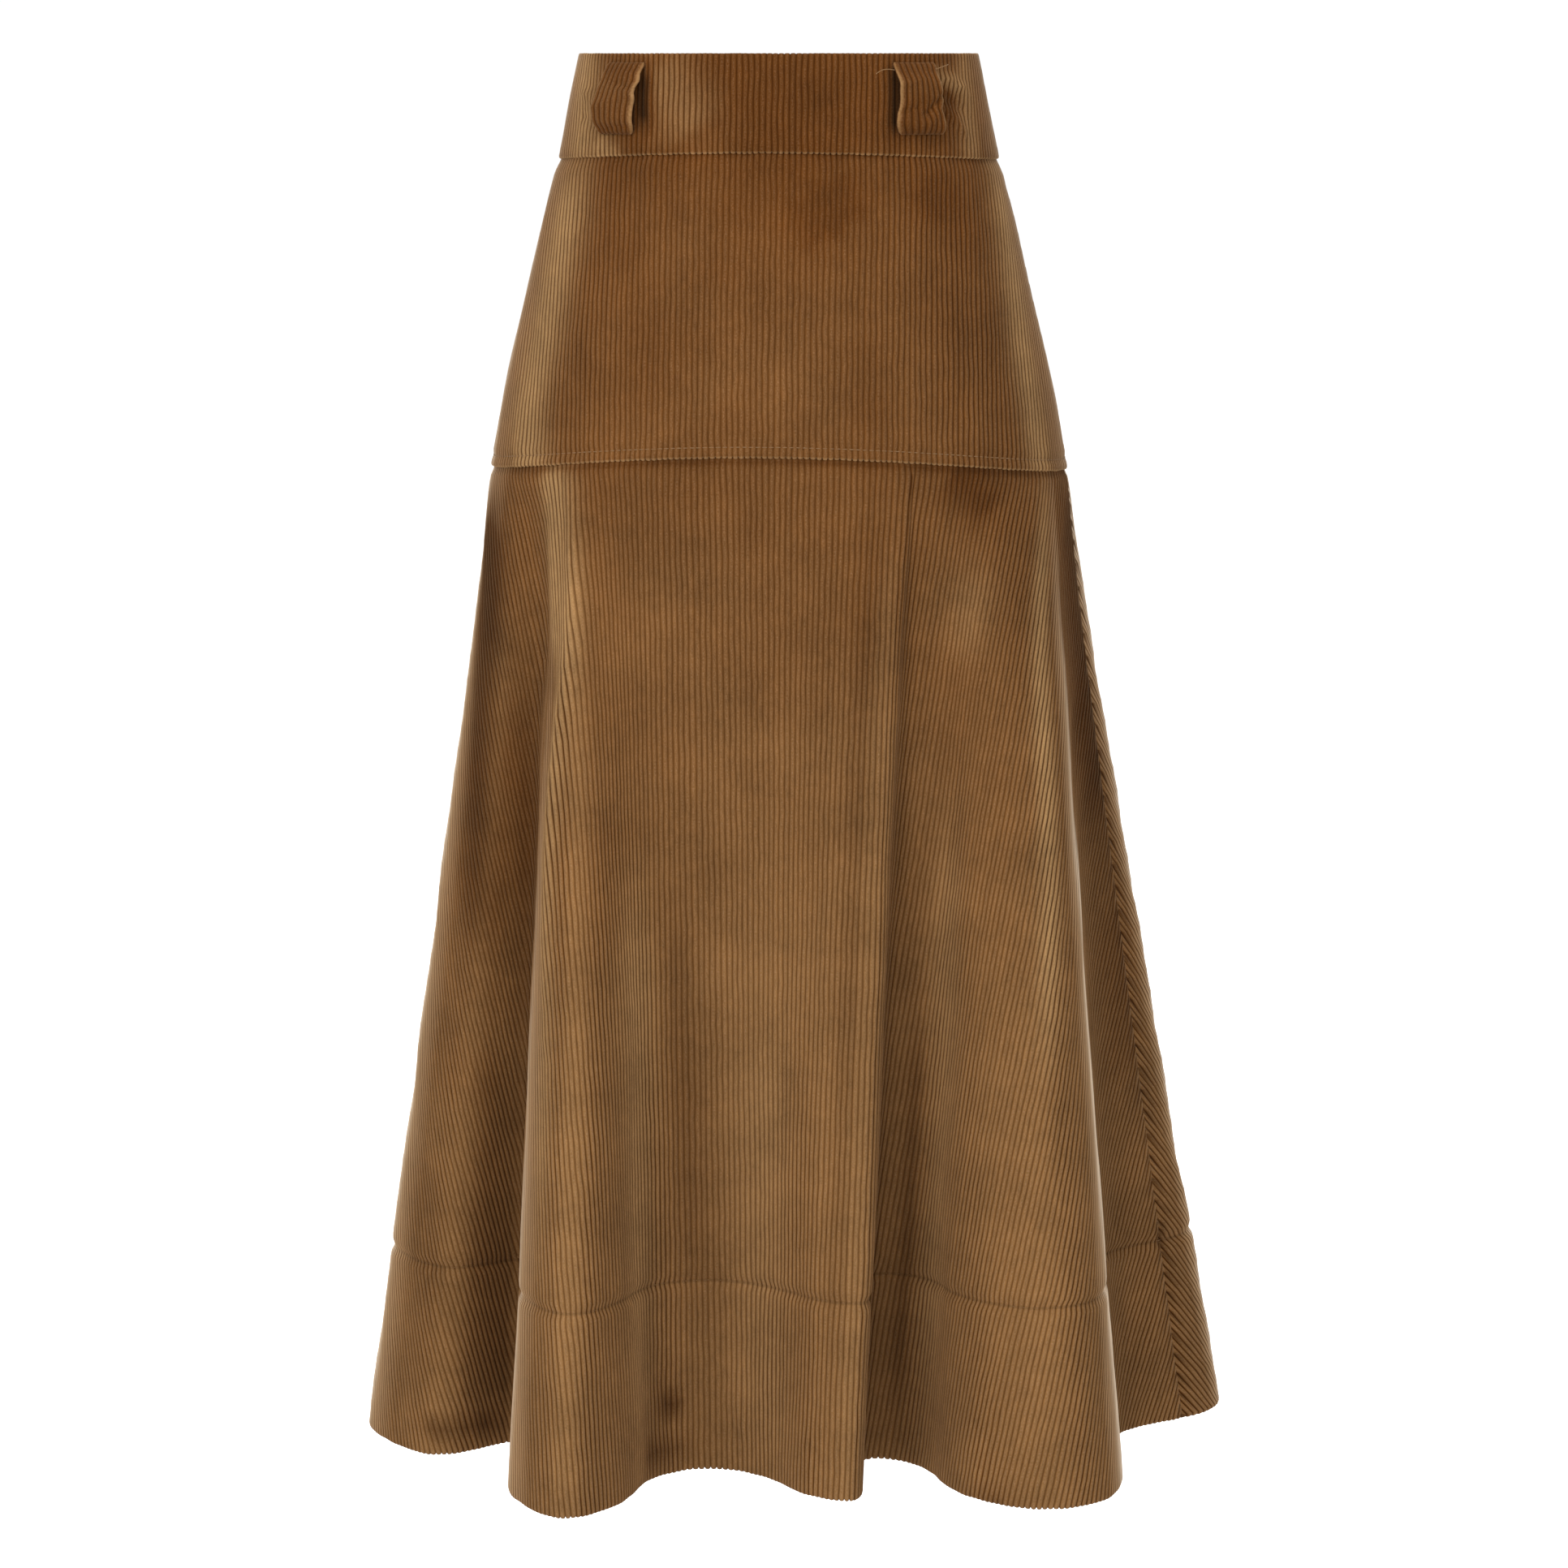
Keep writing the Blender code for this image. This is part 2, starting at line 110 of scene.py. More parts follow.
SAMPLES = 1500  # places read along a level
ROW_STEP = 0.0145  # height between two rows of the mesh
PLAIN_STEP = 0.0075  # width of a column on the plain back
BACK_STEP = 0.024  # height between two rows on the inside of a panel
COLUMN_CLEAR = 0.00012  # no column of the mesh is nearer to a seam
SPAN_LEAST = 1e-7  # a seam that shifts less than this between two rows counts as straight
CROSSING_CLEAR = 0.002  # no column crosses a seam nearer to a row, as a share of the way

SEAM_DIP, SEAM_DIP_REACH = 0.0012, 0.0018
SEAM_SHADE, SEAM_SHADE_REACH = 1.0, 0.0026
SEAM_TOUCH = 0.00006  # sewn edges press this far into each other
BODY_DEPTH = 0.014  # the fold depth that the smooth band and yoke count as
WAVE_WIDTHS = ((0.030, 0.045), (0.045, 0.065), (0.065, 0.11), (0.10, 0.18))
WAVE_LENGTH = (0.11, 0.30)  # of the cloth's slight waves, down the grain
PHASE = (0, 6.28)
RIPPLE_FADE = 0.018
PANEL_RIPPLE, YOKE_RIPPLE, BAND_RIPPLE = 0.00055, 0.00045, 0.0003  # the waves' height
STROKE_END, STROKE_GROWTH = 0.25, 5  # a stroke's strength at its ends, and how soon it is full
BEND_FADE = 0.16  # below the yoke, over which the folds gain their sharpness
BEND_RADIUS = 0.040  # a fold this tight counts as a bend of 1
BEND_WINDOW = 31  # samples over which a bend is averaged
VIEWS = 180  # directions from which a fold's depth is measured
FACING_STEP = 0.004

# ------------------------------------------------------------ edges and rows
PANEL_LENGTH = HEM_DROP - sum(YOKE_DROP.values()) / 2
PANEL_PROUD = 0.0016  # how far the panel springs out just below the yoke
PANEL_SPRING, PANEL_SETTLE = 0.008, 0.11  # over which it springs out, and settles again
PANEL_TOP_ROWS = (0.001, 0.003, 0.006, 0.010, 0.016, 0.024, 0.034, 0.046, 0.060)
STITCHES = 1 - HEM_DEPTH / PANEL_LENGTH
HEM_ROWS = (-0.012, -0.0075, -0.0045, -0.002, 0.0, 0.002, 0.0045, 0.0075)
HEM_PRESS, HEM_PRESS_REACH = 0.0020, 0.0032
HEM_TURN = (0, 40, 80, 115, 150, 180)  # degrees

TUCKED = -BAND_CLOTH - SEAM
YOKE_PROUD, YOKE_ROLL = 0.0002, 0.0009
YOKE_STITCH = 0.006  # from the edge
YOKE_PRESS, YOKE_PRESS_REACH = 0.0006, 0.0018
YOKE_SUNK = 0.0004  # how far its stitches lie in the pressed cloth
YOKE_TURNING = 0.016  # depth of the turned lower edge
YOKE_STEP = 0.010
YOKE_TOP_ROWS = (0.001, 0.0025, 0.0045, 0.007, 0.010, 0.014)
YOKE_EDGE_ROWS = (0.0125, 0.0095, 0.0075, YOKE_STITCH, 0.0045, 0.0028)

BAND_PROUD, BAND_ROLL = 0.0001, 0.0009
BAND_CROWN = 0.0004  # how far its middle stands out
BAND_STEP = 0.0045
BAND_EDGE = 0.001  # allowed on its cut above and below
BAND_TOP_TURN = (-150, -110, -70, -35, 0)  # degrees
EDGE_TURN = (0, 45, 90, 135)  # degrees
EDGE_PAINTED_HIGHLIGHT = 0.8  # painted highlight: how much lighter a turned edge is coloured


# ------------------------------------------------------------------- geometry
def spline(at, knots, values):
    """Read a natural cubic curve through the values at the knots."""
    knots, values = np.asarray(knots, float), np.asarray(values, float)
    width = np.diff(knots)
    system, right = np.eye(len(knots)), np.zeros_like(values)
    for i in range(1, len(knots) - 1):
        system[i, i - 1:i + 2] = width[i - 1], 2 * (width[i - 1] + width[i]), width[i]
        rise = (values[i + 1] - values[i]) / width[i] - (values[i] - values[i - 1]) / width[i - 1]
        right[i] = 6 * rise
    bend = np.linalg.solve(system, right)
    cell = np.clip(np.searchsorted(knots, at) - 1, 0, len(width) - 1)
    span = width[cell]
    shape = (-1,) + (1,) * (values.ndim - 1)
    t = ((knots[cell + 1] - at) / span).reshape(shape)
    u = ((at - knots[cell]) / span).reshape(shape)
    curve = (t**3 - t) * bend[cell] + (u**3 - u) * bend[cell + 1]
    return t * values[cell] + u * values[cell + 1] + curve * (span**2 / 6).reshape(shape)


def smooth(value):
    """Ease from 0 to 1."""
    value = np.clip(value, 0.0, 1.0)
    return value * value * (3 - 2 * value)


def bell(value):
    """A soft bump, 1 at 0 and gone past 2."""
    return np.exp(-np.square(value))


def edge_drop(edge, angle):
    """Drop of a seam that dips from the centres to the sides."""
    return edge["centre"] + (edge["side"] - edge["centre"]) * np.sin(angle) ** 2


def body_point(angle, drop, out):
    """Point of the body form at an angle and a drop, moved outwards by out."""
    angle, drop, out = np.broadcast_arrays(angle, drop, out)
    table = np.array(SECTIONS)
    sizes = spline(drop.ravel(), table[:, 0], table[:, 1:])
    half, front, back = (column.reshape(angle.shape) for column in sizes.T)
    depth = np.where(np.cos(angle) > 0, front, back)
    normal = np.stack([np.sin(angle) / half, -np.cos(angle) / depth], -1)
    normal /= np.linalg.norm(normal, axis=-1, keepdims=True)
    plan = np.stack([half * np.sin(angle), -depth * np.cos(angle)], -1) + normal * out[..., None]
    return np.concatenate([plan, (BAND_MIDDLE - drop)[..., None]], -1)


def flare_starts():
    """Place of each row of the flare, as a distance round the hem, and the girth."""
    hem = np.array([row[1:] for row in FLARE])
    chord = np.linalg.norm(np.roll(hem, -1, axis=0) - hem, axis=1)
    return np.concatenate([[0.0], np.cumsum(chord)[:-1]]), chord.sum()


def flare_lines(at):
    """Yoke angle and hem point of the straight lines at places round the hem."""
    angle = np.radians([row[0] for row in FLARE])
    hem = np.array([row[1:] for row in FLARE])
    start, girth = flare_starts()
    wrap = np.arange(-SPLINE_WRAP, len(FLARE) + SPLINE_WRAP)
    turns, rows = wrap // len(FLARE), wrap % len(FLARE)
    values = np.column_stack([angle[rows] + 2 * math.pi * turns, hem[rows]])
    lap, place = np.divmod(np.ravel(at), girth)
    lines = spline(place, start[rows] + girth * turns, values)
    turned = lines[:, 0] + 2 * math.pi * lap
    return turned.reshape(np.shape(at)), lines[:, 1:].reshape(np.shape(at) + (2,))


def flare_line_point(at, share):
    """Point of the flare's outer face; a share under 0 lies on the lap."""
    angle, hem = flare_lines(at)
    edge = edge_drop(YOKE_DROP, angle)
    top = body_point(angle, edge + np.minimum(share, 0) * (HEM_DROP - edge), -CLOTH - SEAM)
    foot = np.concatenate([hem, np.full(hem.shape[:-1] + (1,), BAND_MIDDLE - HEM_DROP)], -1)
    return top + (foot - top) * np.maximum(share, 0)[..., None]


def flare_point(at, share, out):
    """Point of the flare, moved out along its level outward direction."""
    at, share, out = np.broadcast_arrays(at, share, out)
    ahead, behind = flare_line_point(at + FLARE_STEP, share), flare_line_point(at - FLARE_STEP, share)
    along = ahead - behind
    normal = np.stack([along[..., 1], -along[..., 0], 0 * along[..., 2]], -1)
    normal /= np.linalg.norm(normal, axis=-1, keepdims=True)
    return flare_line_point(at, share) + normal * out[..., None]


def third_corner(first, second, from_first, from_second, side):
    """Corner of a triangle laid flat on the line from first to second."""
    line = second - first
    length = np.hypot(*line)
    along = (length**2 + from_first**2 - from_second**2) / (2 * length)
    off = math.sqrt(max(from_first**2 - along**2, 0.0))
    unit = line / length
    return first + unit * along + np.array([-unit[1], unit[0]]) * off * side


def lay_flat(tops, feet, grain):
    """Lay out a surface of straight lines flat, with the line number grain upright."""
    flat_top, flat_foot = np.zeros((len(tops), 2)), np.zeros((len(tops), 2))
    flat_foot[grain] = 0.0, np.linalg.norm(feet[grain] - tops[grain])
    for step in (1, -1):
        last = len(tops) - 1 if step > 0 else 0
        for i in range(grain, last, step):
            j = i + step
            across = np.linalg.norm(tops[j] - tops[i]), np.linalg.norm(tops[j] - feet[i])
            flat_top[j] = third_corner(flat_top[i], flat_foot[i], *across, -step)
            across = np.linalg.norm(feet[j] - tops[j]), np.linalg.norm(feet[j] - feet[i])
            flat_foot[j] = third_corner(flat_top[j], flat_foot[i], *across, -step)
    return flat_top, flat_foot


def strokes(table, x, y):
    """Sum of soft strokes given as (path, width, size) in millimetres, faded at their ends."""
    total = np.zeros(np.broadcast(x, y).shape)
    for path, width, size in table:
        path = np.array(path) * 0.001
        lengths = np.linalg.norm(np.diff(path, axis=0), axis=1)
        starts = np.concatenate([[0.0], np.cumsum(lengths)])
        nearest, share = np.full(total.shape, math.inf), np.zeros(total.shape)
        for (x0, y0), (x1, y1), length, start in zip(path, path[1:], lengths, starts):
            part = np.clip(((x - x0) * (x1 - x0) + (y - y0) * (y1 - y0)) / length**2, 0.0, 1.0)
            away = np.hypot(x - x0 - part * (x1 - x0), y - y0 - part * (y1 - y0))
            share = np.where(away < nearest, (start + part * length) / starts[-1], share)
            nearest = np.minimum(away, nearest)
        grown = smooth(np.minimum(share, 1 - share) * STROKE_GROWTH)
        total += size * bell(nearest / (width * 0.001)) * (STROKE_END + (1 - STROKE_END) * grown)
    return total


class Cloth:
    """A piece of cloth: where its surface runs, and where its grain lies on it."""

    def __init__(self, point, first, last, across, height, seed, ripple):
        self.point, self.across, self.height = point, across, height
        self.places = np.linspace(first, last, SAMPLES)
        self.creases, self.painted_light_and_nap_strokes = (), ()
        self.bends, self.depths = np.zeros(SAMPLES), np.full(SAMPLES, BODY_DEPTH)
        chance = np.random.default_rng(seed)
        self.waves = [
            (ripple * chance.uniform(0.5, 1.0), 2 * math.pi / chance.uniform(*width), chance.uniform(*PHASE),
             2 * math.pi / chance.uniform(*WAVE_LENGTH), chance.uniform(*PHASE))
            for width in WAVE_WIDTHS
        ]

    def level(self, v):
        """Distance across the grain of every place on a level."""
        return self.across(self.places, v)

    def marks(self, places, x, v):
        """Pattern coordinates, bend, depth in the folds, painted light and shade with darker and lighter
        pile, and facing direction of points.
        """
        bend = np.interp(places, self.places, self.bends) * smooth(v * self.height / BEND_FADE)
        depth = np.interp(places, self.places, self.depths)
        upper = np.clip(v, 0.0, 1.0 - FACING_STEP)
        here = self.point(places, upper, 0.0)
        along = self.point(places + FLARE_STEP, upper, 0.0) - here
        down = self.point(places, upper + FACING_STEP, 0.0) - here
        facing = np.cross(along, -down)
        facing /= np.linalg.norm(facing, axis=1, keepdims=True)
        brush = strokes(self.painted_light_and_nap_strokes, x, v * self.height)
        return np.column_stack([x / WALE, v * self.height, bend, depth, brush, facing])

    def ripple(self, x, v, low, high):
        """Slight unevenness and creases of the cloth, gone at its seams."""
        y = v * self.height
        total = sum(size * np.sin(x * k + a) * np.sin(y * m + b) for size, k, a, m, b in self.waves)
        total = total + strokes(self.creases, x, y) * 0.001
        return total * smooth(np.minimum(x - low, high - x) / RIPPLE_FADE)

    def stray(self, x, y):
        """How far the wales wander sideways."""
        return STRAY * sum(
            np.sin(x * k * across + y * slant + a) * np.sin(y * m * down + b)
            for (_, k, a, m, b), (across, slant, down) in zip(self.waves, STRAY_WAVES))

    def lay(self, x, level, row):
        """Ribbed points at distances across the grain on a row's level, and their marks."""
        low, high = level[0], level[-1]
        inside = np.minimum(x - low, high - x)
        stray = self.stray(x, row["v"] * self.height) * smooth(inside / RIPPLE_FADE)
        places = np.interp(x + stray, level, self.places)
        v = np.full_like(x, row["v"])
        marks = self.marks(places, x, v)
        # Painted highlight along turned edges, painted shade towards the seams
        marks[:, 4] += row["brush"] - SEAM_SHADE * bell(inside / SEAM_SHADE_REACH)
        return self.place(places, x, v, row, low, high), marks

    def place(self, places, x, v, row, low, high):
        """Points of the ribbed face."""
        y = v * self.height
        (k, m), (n, q) = RIB_WAVES
        full = 1 + RIB_CHANGE * np.sin(x * k + y * m) * np.sin(y * q - x * n)
        relief = ((rib_height(x) + RIB_SINK) * full - RIB_SINK) * row["rib"]
        near = np.minimum(np.abs(x - low), np.abs(high - x)) / SEAM_DIP_REACH
        out = row["out"] + self.ripple(x, v, low, high) * row["free"]
        out = out - SEAM_DIP * bell(near) + row["press"]
        points = self.point(places, v, out + relief * math.cos(row["lean"]))
        points[:, 2] += row["rise"] - relief * math.sin(row["lean"])
        return points


def rib_height(x):
    """Height of the wales' profile at distances across the grain."""
    part = np.mod(x / WALE, 1.0)
    height = np.interp(part, WALE_PLACES + (1.0,), WALE_HEIGHTS + (0.0,))
    return height * RIB - RIB_SINK


def columns_between(low, high):
    """Numbers of the mesh columns between two distances across the grain."""
    in_wale = len(WALE_PLACES)
    numbers = np.arange((math.floor(low / WALE) - 1) * in_wale, (math.ceil(high / WALE) + 1) * in_wale)
    x = column_x(numbers)
    return numbers[(x > low + COLUMN_CLEAR) & (x < high - COLUMN_CLEAR)]


def column_x(numbers):
    """Distance across the grain of mesh columns."""
    in_wale = len(WALE_PLACES)
    return WALE * (numbers // in_wale + np.array(WALE_PLACES)[numbers % in_wale])


# Soft creases on the flat piece, listed one by one: path (across, down), width and height, in millimetres
CREASES = {
    "front_panel": (
        (((-121, 4), (-124, 60), (-131, 105), (-141, 140), (-160, 230), (-174, 340)), 8, 3.4),
        (((-121, 30), (-125, 93), (-133, 122), (-151, 182), (-161, 260)), 3.6, 1.5),
        (((-160, 8), (-172, 70), (-184, 150)), 17, -3.0),
        (((78, 4), (79, 130), (80, 280)), 12, -2.6),
        (((97, 8), (112, 130), (140, 300)), 13, 3.6),
        (((-24, 556), (-19, 580), (-13, 608)), 3.4, 1.3),
        (((-72, 552), (-66, 576), (-64, 600)), 5.0, -1.5),
        (((-104, 570), (-96, 612)), 5.0, 0.9),
        (((-404, 598), (-376, 602), (-350, 600)), 4.0, -1.1),
        (((40, 582), (49, 618)), 4.0, 0.9),
        (((262, 590), (282, 618)), 5.0, 0.9),
    ),
    "waistband_front": (
        (((103, 11), (117, 15), (134, 22)), 3.0, 2.3),
        (((104, 22), (118, 27), (134, 36)), 2.8, -1.9),
        (((106, 30), (121, 38), (132, 50)), 3.0, 1.9),
        (((-134, 20), (-118, 26), (-106, 34)), 3.0, 1.5),
        (((-132, 34), (-112, 42)), 3.0, -1.3),
    ),
}
# Painted highlights and painted shade, with some lighter and darker patches of the pile, over 0 lighter and
# under 0 darker: path, width in millimetres, amount
PAINTED_LIGHT_AND_NAP_STROKES = {
    "front_panel": (
        (((-122, -8), (-126, 60), (-132, 105), (-141, 140), (-160, 230), (-174, 340), (-190, 480)), 8, 0.8),
        (((-134, -8), (-143, 50), (-148, 120)), 10, 1.3),
        (((-198, -8), (-230, 100), (-256, 200), (-285, 320)), 17, -1.0),
        (((-290, 330), (-338, 540), (-352, 620)), 20, -0.6),
        (((-206, 30), (-222, 120)), 16, -0.5),
        (((-72, 568), (-58, 582)), 7, -1.0),
        (((-92, 603), (-66, 607), (-42, 609)), 4, -0.9),
        (((-406, 604), (-380, 607), (-350, 604)), 4, -1.0),
        (((240, 610), (300, 617)), 4, -0.6),
        (((-212, 3), (0, 3), (224, 3)), 2.6, -0.4),
        (((-358, 420), (-382, 540), (-392, 590)), 22, -0.35),
        (((-192, 120), (-235, 300), (-285, 480), (-325, 620)), 18, -0.8),
        (((225, -8), (290, 120), (345, 240)), 26, -1.4),
        (((350, 260), (385, 310), (420, 400)), 22, -0.6),
        (((112, 2), (150, 30)), 17, -0.6),
        (((140, 60), (150, 110)), 16, 0.25),
        (((148, 320), (160, 411), (180, 605)), 6, -0.6),
        (((152, 200), (182, 390), (202, 590)), 15, 0.45),
        (((184, -8), (205, 110), (242, 248), (264, 360)), 7, 1.0),
        (((66, 10), (62, 300), (58, 610)), 10, -0.3),
        (((-88, 250), (-98, 610)), 18, 0.7),
        (((-58, 260), (-46, 520)), 12, -0.45),
        (((0, 330), (2, 630)), 22, 0.4),
    ),
    "yoke_front": (
        (((-128, -8), (-150, 90), (-164, 150), (-152, 210)), 17, 1.1),
        (((158, -8), (171, 80), (183, 165), (188, 210)), 13, 1.0),
        (((28, 20), (46, 48)), 24, -0.5),
        (((95, 12), (112, 36)), 16, -0.4),
        (((60, 100), (66, 170)), 16, -0.25),
    ),
    "waistband_front": (
        (((-130, -8), (-128, 70)), 15, 1.0),
        (((-112, 48), (-96, 66)), 9, 0.7),
        (((132, -8), (136, 70)), 10, 0.6),
        (((-70, 4), (-40, 50)), 20, 0.35),
        (((6, 2), (34, 40)), 24, -0.5),
        (((-76.5, 10), (-76, 44)), 4.5, -2.0),
        (((76.5, 4), (77, 50)), 4.0, -1.9),
        (((103, 13), (117, 16), (128, 20)), 5, 0.7),
        (((106, 24), (120, 32)), 5, -0.7),
    ),
}


# ---------------------------------------------------------------- mesh makers
def put(name, data):
    """Make an object and put it in the scene."""
    made = bpy.data.objects.new(name, data)
    bpy.context.collection.objects.link(made)
    return made


class Shell:
    """Points and faces of one closed shell as it is built."""

    def __init__(self):
        self.points, self.marks, self.count = [], [], 0
        self.quads, self.others = [], []
        self.plain_quads, self.plain_others = [np.zeros((0, 4), int)], []

    def add(self, points, marks):
        """Add points with their pattern coordinates and return their numbers."""
        self.points.append(points)
        self.marks.append(marks)
        self.count += len(points)
        return np.arange(self.count - len(points), self.count)

    def close_tube(self, rings):
        """Join closed rings of points to a tube and cap its ends."""
        for first, second in zip(rings, rings[1:]):
            self.quads.append(np.column_stack([first, second, np.roll(second, -1), np.roll(first, -1)]))
        self.others += [rings[0].tolist(), rings[-1].tolist()[::-1]]

    def finish(self, name, materials):
        """Make the object."""
        points, marks = np.concatenate(self.points), np.concatenate(self.marks)
        faces = np.concatenate(self.quads).tolist() + [list(map(int, face)) for face in self.others]
        ribbed = len(faces)
        faces += np.concatenate(self.plain_quads).tolist()
        faces += [list(map(int, face)) for face in self.plain_others]
        mesh = bpy.data.meshes.new(name)
        mesh.from_pydata(points.tolist(), [], faces)
        pattern = mesh.uv_layers.new(name="cloth")
        corners = np.zeros(len(mesh.loops), int)
        mesh.loops.foreach_get("vertex_index", corners)
        pattern.data.foreach_set("uv", marks[corners, :2].astype(np.float32).ravel())
        if marks.shape[1] > 2:
            for column, key in ((2, "bend"), (3, "depth"), (4, "brush")):
                value = mesh.attributes.new(key, "FLOAT", "POINT")
                value.data.foreach_set("value", marks[:, column].astype(np.float32))
            facing = mesh.attributes.new("facing", "FLOAT_VECTOR", "POINT")
            facing.data.foreach_set("vector", marks[:, 5:8].astype(np.float32).ravel())
        for material in materials:
            mesh.materials.append(material)
        indices = np.zeros(len(faces), int)
        indices[ribbed:] = len(materials) - 1
        mesh.polygons.foreach_set("material_index", indices)
        mesh.shade_smooth()
        mesh.update()
        return put(name, mesh)


def zipper(first, first_at, second, second_at):
    """Close the strip between two rows of points that run the same way."""
    faces, i, j = [], 0, 0
    while i < len(first) - 1 or j < len(second) - 1:
        ahead_first = first_at[i + 1] if i < len(first) - 1 else math.inf
        ahead_second = second_at[j + 1] if j < len(second) - 1 else math.inf
        if ahead_first <= ahead_second:
            face = (first[i + 1], first[i], second[j])
            i += 1
        else:
            face = (second[j], second[j + 1], first[i])
            j += 1
        if len(set(face)) == 3:
            faces.append(face)
    return faces


class RibbedRow:
    """A built row of the ribbed face: numbers of its columns, its points, and how far its ends lie."""

    def __init__(self, numbers, points, ends, row):
        self.numbers, self.points, self.ends, self.row = numbers, points, ends, row


def row_at(v, **changes):
    """A row of the mesh at a level: where it lies, its wales' height and how its cloth lies."""
    return {"v": v, "out": 0.0, "rib": 1.0, "free": 1.0, "press": 0.0, "lean": 0.0, "rise": 0.0,
            "brush": 0.0, **changes}


def rolled_edge(v, radius, proud, degrees, rib, swell, light=0.0, **changes):
    """Rows that turn the cloth over an edge, its wales spread by swell at the turn, and light as a painted
    highlight along the turn.
    """
    return [row_at(v, out=proud + radius * (math.cos(lean) - 1), rise=-radius * math.sin(lean), lean=lean,
                   rib=rib + swell * math.sin(lean), brush=light * math.sin(lean), **changes)
            for lean in np.radians(degrees)]


def steps(first, last, step):
    """Evenly divide a stretch into steps of about a size, without its ends."""
    count = max(1, round(abs(last - first) / step))
    return np.linspace(first, last, count + 1)[1:-1].tolist()


def ribbed_rows(shell, cloth, rows):
    """Build the ribbed face row by row; return its rows and its two side chains."""
    made = []
    for row in rows:
        level = cloth.level(row["v"])
        numbers = columns_between(level[0], level[-1])
        x = np.concatenate([level[:1], column_x(numbers), level[-1:]])
        made.append(RibbedRow(numbers, shell.add(*cloth.lay(x, level, row)), (level[0], level[-1]), row))
    chains = [[made[0].points[0]], [made[0].points[-1]]]
    for upper, lower in zip(made, made[1:]):
        for side in (0, 1):
            chains[side] += close_side(shell, cloth, upper, lower, side)
        core = np.intersect1d(upper.numbers, lower.numbers)
        above = upper.points[1:-1][np.isin(upper.numbers, core)]
        below = lower.points[1:-1][np.isin(lower.numbers, core)]
        shell.quads.append(np.column_stack([above[:-1], below[:-1], below[1:], above[1:]]))
    return made, chains


def inwards(points, side, count):
    """The first few of a row's points, from one of its two ends inwards."""
    return list(points[::-1][:count] if side else points[:count])


def cross_seam(shell, cloth, upper, lower, extra, side, share):
    """Add the points at which columns meet the seam between two rows."""
    x = column_x(extra)
    row = {key: upper.row[key] + (lower.row[key] - upper.row[key]) * share for key in upper.row}
    row["lean"] = float(np.mean(row["lean"]))
    places = np.full(len(x), cloth.places[-side])
    low, high = (x - 1.0, x) if side else (x, x + 1.0)
    points = cloth.place(places, x, row["v"], row, low, high)
    return shell.add(points, cloth.marks(places, x, row["v"]))


def close_side(shell, cloth, upper, lower, side):
    """Fill between two rows at one end, where the seam cuts across the wales."""
    growth = lower.numbers[-1] - upper.numbers[-1] if side else upper.numbers[0] - lower.numbers[0]
    wide, narrow = (lower, upper) if growth >= 0 else (upper, lower)
    core = narrow.numbers[-side]
    extra = wide.numbers[wide.numbers > core][::-1] if side else wide.numbers[wide.numbers < core]
    count, crossing = len(extra), []
    if count:
        span = wide.ends[side] - narrow.ends[side]
        share = np.full(count, 0.5)
        if abs(span) > SPAN_LEAST:
            share = np.clip((column_x(extra) - narrow.ends[side]) / span, CROSSING_CLEAR, 1 - CROSSING_CLEAR)
        share = share if wide is lower else 1 - share
        crossing = cross_seam(shell, cloth, upper, lower, extra, side, share).tolist()
    # Along the wide row: its seam end, the extra columns and the core's; and beside them
    # the crossings, the narrow row's seam end and its core's column
    outer = inwards(wide.points, side, count + 2)
    inner = crossing + inwards(narrow.points, side, 2)
    if count:
        faces = [[inner[0], outer[0], outer[1]]]
        faces += [[inner[i], outer[i + 1], outer[i + 2], inner[i + 1]] for i in range(count - 1)]
        faces += [[inner[count - 1], outer[count], outer[count + 1], inner[count + 1], inner[count]]]
    else:
        faces = [[inner[0], outer[0], outer[1], inner[1]]]
    turned = (wide is upper) != (side == 1)
    shell.others += [face[::-1] if turned else face for face in faces]
    return (crossing if wide is upper else crossing[::-1]) + [lower.points[-side]]


def plain_rows(shell, cloth, rows):
    """Build the plain back row by row and return its rows."""
    widest = max(np.ptp(cloth.level(row["v"])) for row in rows)
    count = max(6, round(widest / PLAIN_STEP))
    made = []
    for row in rows:
        level = cloth.level(row["v"])
        x = np.linspace(level[0], level[-1], count + 1)
        places = np.interp(x, level, cloth.places)
        v = np.full(len(x), row["v"])
        out = row["out"] + cloth.ripple(x, v, level[0], level[-1]) * row["free"]
        made.append(shell.add(cloth.point(places, v, out), cloth.marks(places, x, v)))
    for above, below in zip(made, made[1:]):
        shell.plain_quads.append(np.column_stack([above[:-1], below[:-1], below[1:], above[1:]]))
    return made


def ribbed_shell(name, cloth, face_rows, back_rows, materials):
    """Make a closed piece of corduroy, ribbed on its face and plain behind."""
    shell = Shell()
    face, chains = ribbed_rows(shell, cloth, face_rows)
    back = plain_rows(shell, cloth, back_rows)
    marks = np.concatenate(shell.marks)

    def evenly(row):
        return row, np.linspace(0, 1, len(row))

    def across(row):
        x = marks[row, 0]
        return row, (x - x[0]) / (x[-1] - x[0])

    shell.plain_others += zipper(*across(face[-1].points), *evenly(back[0]))
    shell.plain_others += zipper(*evenly(back[-1]), *across(face[0].points))
    heights = np.concatenate(shell.points)[:, 2]
    for side in (0, 1):
        loop = chains[side] + [row[-side] for row in back]
        lowest = int(np.argmin(heights[loop]))
        down, up = loop[:lowest + 1], loop[lowest:][::-1]
        strips = (down, -heights[down]), (up, -heights[up])
        shell.plain_others += zipper(*strips[side], *strips[1 - side])
    return shell.finish(name, materials)


